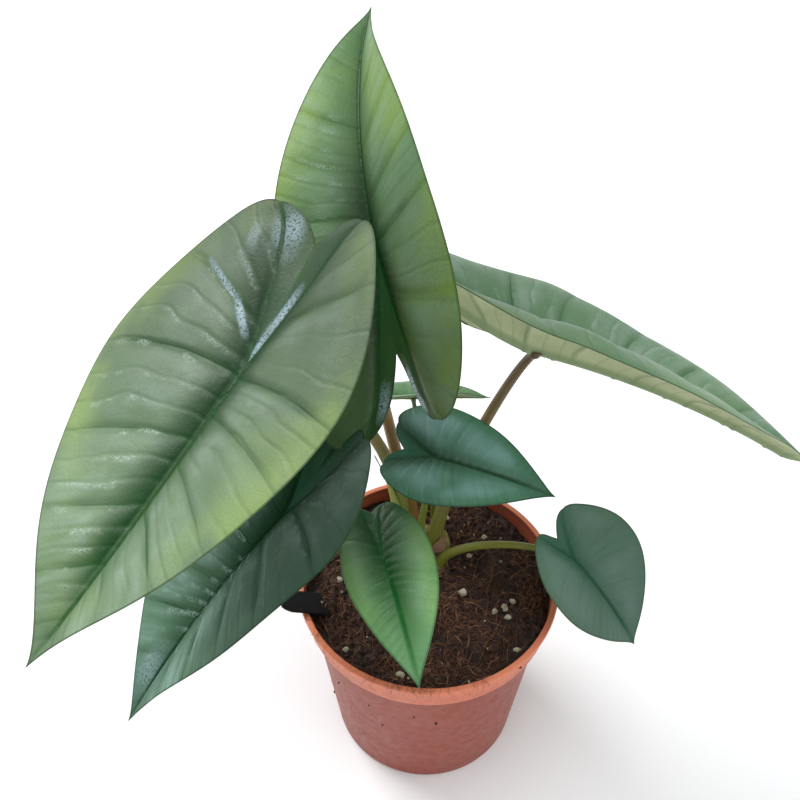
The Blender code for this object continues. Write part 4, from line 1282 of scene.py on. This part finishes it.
def build_fibres():
    """Coir: short strands matted in patches, and a few longer ones."""
    rng = random.Random(41)
    bits = Bits()
    inside = soil_edge(1.0 * MM)
    mats = [(*scattered(rng, inside), rng.uniform(3, 9) * MM, rng.uniform(0, pi))
            for _ in range(FIBRE_MATS)]
    for k in range(FIBRE_COUNT):
        if k % 4:
            mx, my, spread, lie = rng.choice(mats)
            x, y = mx + rng.gauss(0, spread), my + rng.gauss(0, spread)
            heading = lie + rng.gauss(0, 0.7)
            length = rng.uniform(3, 9) * MM
            radius = rng.uniform(0.07, 0.20) * MM
        else:
            x, y = scattered(rng, inside)
            heading = rng.uniform(0, 2 * pi)
            length = rng.choice((6, 10, 18)) * MM
            radius = rng.uniform(0.05, 0.12) * MM
        end = hypot(x + length * cos(heading), y + length * sin(heading))
        if hypot(x, y) <= inside and end <= inside - 1 * MM:
            add_strand(bits, x, y, heading, length, radius, rng)
    bits.piece("mix_fibres", fibre_material(), "soil")


def add_lump(bits, centre, radius, rng, rough, level=2):
    """One crumb: a ball pushed about by noise and flattened a little."""
    bm = bmesh.new()
    bmesh.ops.create_icosphere(bm, subdivisions=level, radius=1.0)
    seed = Vector([rng.uniform(0, 50) for _ in range(3)])
    stretch = Vector((rng.uniform(0.75, 1.25), rng.uniform(0.75, 1.25), rng.uniform(0.6, 0.9)))
    turn = Matrix.Rotation(rng.uniform(0, 6.28), 3, "Z")
    turn = turn @ Matrix.Rotation(rng.uniform(-0.5, 0.5), 3, "X")
    vertices = []
    for vert in bm.verts:
        coarse, fine = (noise.noise(vert.co * scale + seed) for scale in (1.3, 3.1))
        grow = 1 + rough * coarse + rough * 0.5 * fine
        vertices.append(Vector(centre) + turn @ (vert.co * stretch * grow) * radius)
    bits.add(vertices, [[v.index for v in face.verts] for face in bm.faces])
    bm.free()


def crumb_material():
    g = Graph("crumb_skin")
    position = g.position()
    clump = g.noise(position, 420, 4, 0.65)
    rust = g.step(g.noise(position, 60, 2, 0.5), 0.55, 0.7, 0.0, 0.5)
    colour = g.layers(srgb(34, 22, 18), (g.step(clump, 0.35, 0.65), srgb(78, 48, 36)),
                      (rust, srgb(104, 70, 50)))
    return g.finish(colour, 0.85, g.bump(clump, 0.6 * MM, 1.0))


def build_crumbs():
    rng = random.Random(17)
    bits = Bits()
    for _ in range(CRUMB_COUNT):
        x, y = scattered(rng, soil_edge(1.2 * MM))
        radius = rng.choice((0.35, 0.5, 0.7, 0.9, 1.4)) * MM * rng.uniform(0.7, 1.15)
        add_lump(bits, (x, y, soil_surface(x, y) + radius * 0.15), radius, rng, 0.7)
    bits.piece("mix_crumbs", crumb_material(), "soil")


def perlite_material():
    g = Graph("perlite_skin")
    position = g.position()
    pores = g.cells(position, 1800)
    dirt = g.noise(position, 500, 4, 0.65)
    colour = g.layers(srgb(186, 182, 160), (g.step(dirt, 0.42, 0.66), srgb(150, 138, 112)),
                      (g.step(pores, 0.28, 0.08, 0.0, 0.55), srgb(112, 100, 80)))
    height = g.step(pores, 0.0, 0.4) * 0.8 + dirt
    return g.finish(colour, 0.88, g.bump(height, 0.4 * MM, 1.0), 0.3)


def build_perlite():
    """The twelve larger grains where the frame has them, and finer ones scattered as dust."""
    rng = random.Random(23)
    material = perlite_material()
    for i in range(1, PERLITE_COUNT + 1):
        node = f"perlite_{i:02d}"
        low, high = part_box(node)
        centre = (low + high) / 2
        radius = (high.x - low.x + high.y - low.y) / 4
        centre.z = soil_surface(centre.x, centre.y) + 0.35 * radius
        grain = Bits()
        add_lump(grain, centre, radius, rng, 0.42, 4)
        grain.piece(f"perlite_grain_{i:02d}", material, "perlite", node)
    fines = Bits()
    for _ in range(FINE_COUNT):
        x, y = scattered(rng, soil_edge(1.5 * MM))
        radius = rng.uniform(0.2, 0.6) * MM
        add_lump(fines, (x, y, soil_surface(x, y) + radius * 0.5), radius, rng, 0.5)
    fines.piece("perlite_fines", material, "perlite")


# ---- dirt and fibres on the pot

def build_pot_dirt():
    """Crumbs of mix that stick to the outside of the wall, most of them under the lip."""
    rng = random.Random(5)
    bits = Bits()
    for k in range(DIRT_COUNT):
        a = rng.uniform(0, 2 * pi)
        z = rng.uniform(*((0.62, 0.97) if k % 3 else (0.08, 0.6))) * POT_HEIGHT
        radius = rng.choice((0.25, 0.35, 0.5, 0.75)) * MM
        r = wall_radius(z) + radius * 0.10
        add_lump(bits, polar(r, a, z), radius, rng, 0.6)
    bits.piece("pot_dirt", crumb_material(), "soil")


# middle and spread in degrees round the pot, and number, of the fibres on the lip
RIM_TUFTS = ((-96, 16, 34), (-112, 14, 18), (-70, 8, 10), (-150, 12, 16))
RIM_CROSSING = 3.2 * MM      # length of a fibre that lies on the lip


def rim_fibre_path(a, start, over, swing, rng):
    """Centres of a fibre that rises from the mix, crosses the lip and may hang down outside."""
    inner = wall_radius(POT_HEIGHT) - WALL
    path = []
    steps = 13
    for k in range(steps + 1):
        t = k / steps
        angle = a + swing * t + rng.uniform(-0.006, 0.006)
        travel = t * (start + RIM_CROSSING + over)
        if travel < start:
            r = inner - start + travel
            z = SOIL_TOP + (POT_HEIGHT + 0.3 * MM - SOIL_TOP) * (travel / start) ** 1.4
        elif travel < start + RIM_CROSSING:
            r = inner + travel - start
            z = POT_HEIGHT + 0.35 * MM
        else:
            r = RIM_RADIUS + 0.35 * MM + rng.uniform(0, 0.25) * MM
            z = POT_HEIGHT + 0.2 * MM - (travel - start - RIM_CROSSING)
        path.append(Vector(polar(r, angle, z)))
    return path


def build_rim_fibres():
    """Fibres caught on the lip in front and at the left, some hanging down the collar."""
    rng = random.Random(77)
    bits = Bits()
    for middle, spread, number in RIM_TUFTS:
        for _ in range(number):
            a = radians(middle + rng.gauss(0, 0.5) * spread)
            radius = rng.uniform(0.04, 0.10) * MM
            start = rng.uniform(0.6, 5.0) * MM
            over = rng.uniform(0.5, 6.0) * MM if rng.random() < 0.55 else 0.0
            path = rim_fibre_path(a, start, over, rng.uniform(-0.10, 0.10), rng)
            rings = tube_rings(path, lambda t, a, radius=radius: radius * (1 - 0.5 * t), 4, (0, 0, 1))
            bits.add(rings, skin(len(path), 4, 0, caps=True), rng.uniform(0.3, 1.0))
    bits.piece("rim_fibres", fibre_material(), "soil")


# ---- stake

def stake_material():
    g = Graph("stake_plastic")
    position = g.position()
    cloud = g.noise(position, 300, 4, 0.6)
    mud = g.step(g.noise(position, 120, 4, 0.65), 0.60, 0.72, 0.0, 0.45)
    colour = g.layers(srgb(7, 7, 10), (g.step(cloud, 0.4, 0.65), srgb(12, 12, 15)),
                      (mud, srgb(62, 46, 38)))
    return g.finish(colour, g.step(cloud, 0.3, 0.7, 0.55, 0.7), g.bump(cloud, 0.2 * MM, 0.6), 0.25)


def build_stake():
    """The blank stake: a flat strip with rounded edges, a stiffening rib and a pointed foot."""
    out = radians(STAKE_AZIMUTH)
    slant = radians(STAKE_SLANT)
    turn = (Matrix.Rotation(out, 4, "Z") @ Matrix.Rotation(-slant, 4, "Y")).to_3x3()
    over_rim = Vector(polar(RIM_RADIUS, out, POT_HEIGHT + STAKE_CLEAR))
    middle = over_rim + turn @ Vector((STAKE_OVERHANG / cos(slant) - STAKE_LENGTH / 2, 0, 0))
    steps, sides = 40, 32
    vertices = []
    for k in range(steps + 1):
        t = k / steps
        x = STAKE_LENGTH * (t - 0.5)
        end = min(1.0, ((1 - t) * steps / 4 + 0.02) ** 0.5)
        point = min(1.0, 0.12 + 0.88 * t / 0.30) * (0.55 + 0.45 * end)
        for a in angles(sides):
            c, s = cos(a), sin(a)
            y = STAKE_WIDTH / 2 * point * copysign(abs(c) ** 0.35, c)
            z = STAKE_THICKNESS / 2 * copysign(abs(s) ** 0.35, s)
            if s > 0 and 0.12 < t < 0.9:
                z += 0.25 * MM * exp(-(y / (1.1 * MM)) ** 2)
            vertices.append(middle + turn @ Vector((x, y, z)))
    faces = skin(steps + 1, sides, 0, caps=True)
    piece = mesh_object("blank_stake", vertices, faces, stake_material())
    piece.data.set_sharp_from_angle(angle=radians(60))
    place(piece, "plant_stake", "plant_stake")


# ---- floor, light, camera

FLOOR_STEPS = 24
FLOOR_REACH = 4.0            # metres from the middle to each edge
LIGHT_AIM = (0, 0, 0.15)


def build_floor():
    g = Graph("floor_paper")
    tooth = g.noise(g.position(), 300, 3, 0.5)
    material = g.finish((0.95, 0.95, 0.95, 1.0), 0.9, g.bump(tooth, 0.2 * MM, 0.3))
    places = [FLOOR_REACH * (2 * i / FLOOR_STEPS - 1) for i in range(FLOOR_STEPS + 1)]
    vertices = [(x, y, -0.02 * MM) for x in places for y in places]
    row = FLOOR_STEPS + 1
    starts = [i * row + j for i in range(FLOOR_STEPS) for j in range(FLOOR_STEPS)]
    faces = [(a, a + row, a + row + 1, a + 1) for a in starts]
    floor = mesh_object("floor", vertices, faces, material)


def area_light(name, place_at, size, power, colour):
    light = bpy.data.lights.new(name, "AREA")
    light.shape = "DISK"
    light.size = size
    light.energy = power
    light.color = colour
    lamp = linked(name, light)
    lamp.location = place_at
    lamp.rotation_euler = (Vector(LIGHT_AIM) - Vector(place_at)).to_track_quat("-Z", "Y").to_euler()


def build_light():
    world = bpy.data.worlds.new("studio")
    world.use_nodes = True
    background = world.node_tree.nodes["Background"]
    background.inputs["Color"].default_value = (0.94, 0.97, 1.0, 1.0)
    background.inputs["Strength"].default_value = 0.66
    bpy.context.scene.world = world
    area_light("window", (-1.1, 0.9, 1.5), 1.1, 30, (0.97, 0.985, 1.0))
    area_light("overhead", (0.3, -0.2, 2.0), 1.6, 13, (1, 1, 1))
    area_light("fill", (1.2, -1.4, 0.9), 1.4, 4, (1.0, 0.985, 0.96))


def build_camera():
    """The photograph's camera, fitted to the pot and the leaf tips."""
    camera = bpy.data.cameras.new("camera")
    camera.lens = 45
    camera.sensor_width = 36
    camera.clip_start = 0.01
    view = linked("camera", camera)
    view.location = (-0.013, -0.276, 0.485)
    view.rotation_euler = (radians(46), 0, 0)
    bpy.context.scene.camera = view


def main():
    bpy.context.scene.view_settings.view_transform = "Standard"
    for build in (build_camera, build_light, build_floor, build_pot, build_soil, build_fibres,
                  build_crumbs, build_perlite, build_pot_dirt, build_rim_fibres, build_crown,
                  build_stake):
        build()
    for seed, (name, leaf) in enumerate(LEAVES.items()):
        build_blade(name, leaf, seed)
        build_stalk(name, leaf)
    green = sheath_material("green_sheath_skin", (160, 166, 84), (150, 160, 72), (108, 124, 56), 0.42)
    papery = sheath_material("papery_scale_skin", (186, 140, 116), (196, 156, 128), (132, 88, 66), 0.68)
    build_sheath("stalk_sheath", "green_sheath", LEAVES["leaf_1"], 0.24, 200, 170, green, 0.3 * MM)
    build_sheath("papery_scale", "dry_sheath", LEAVES["leaf_4"], 0.12, -60, 120, papery, 0.9 * MM)


main()
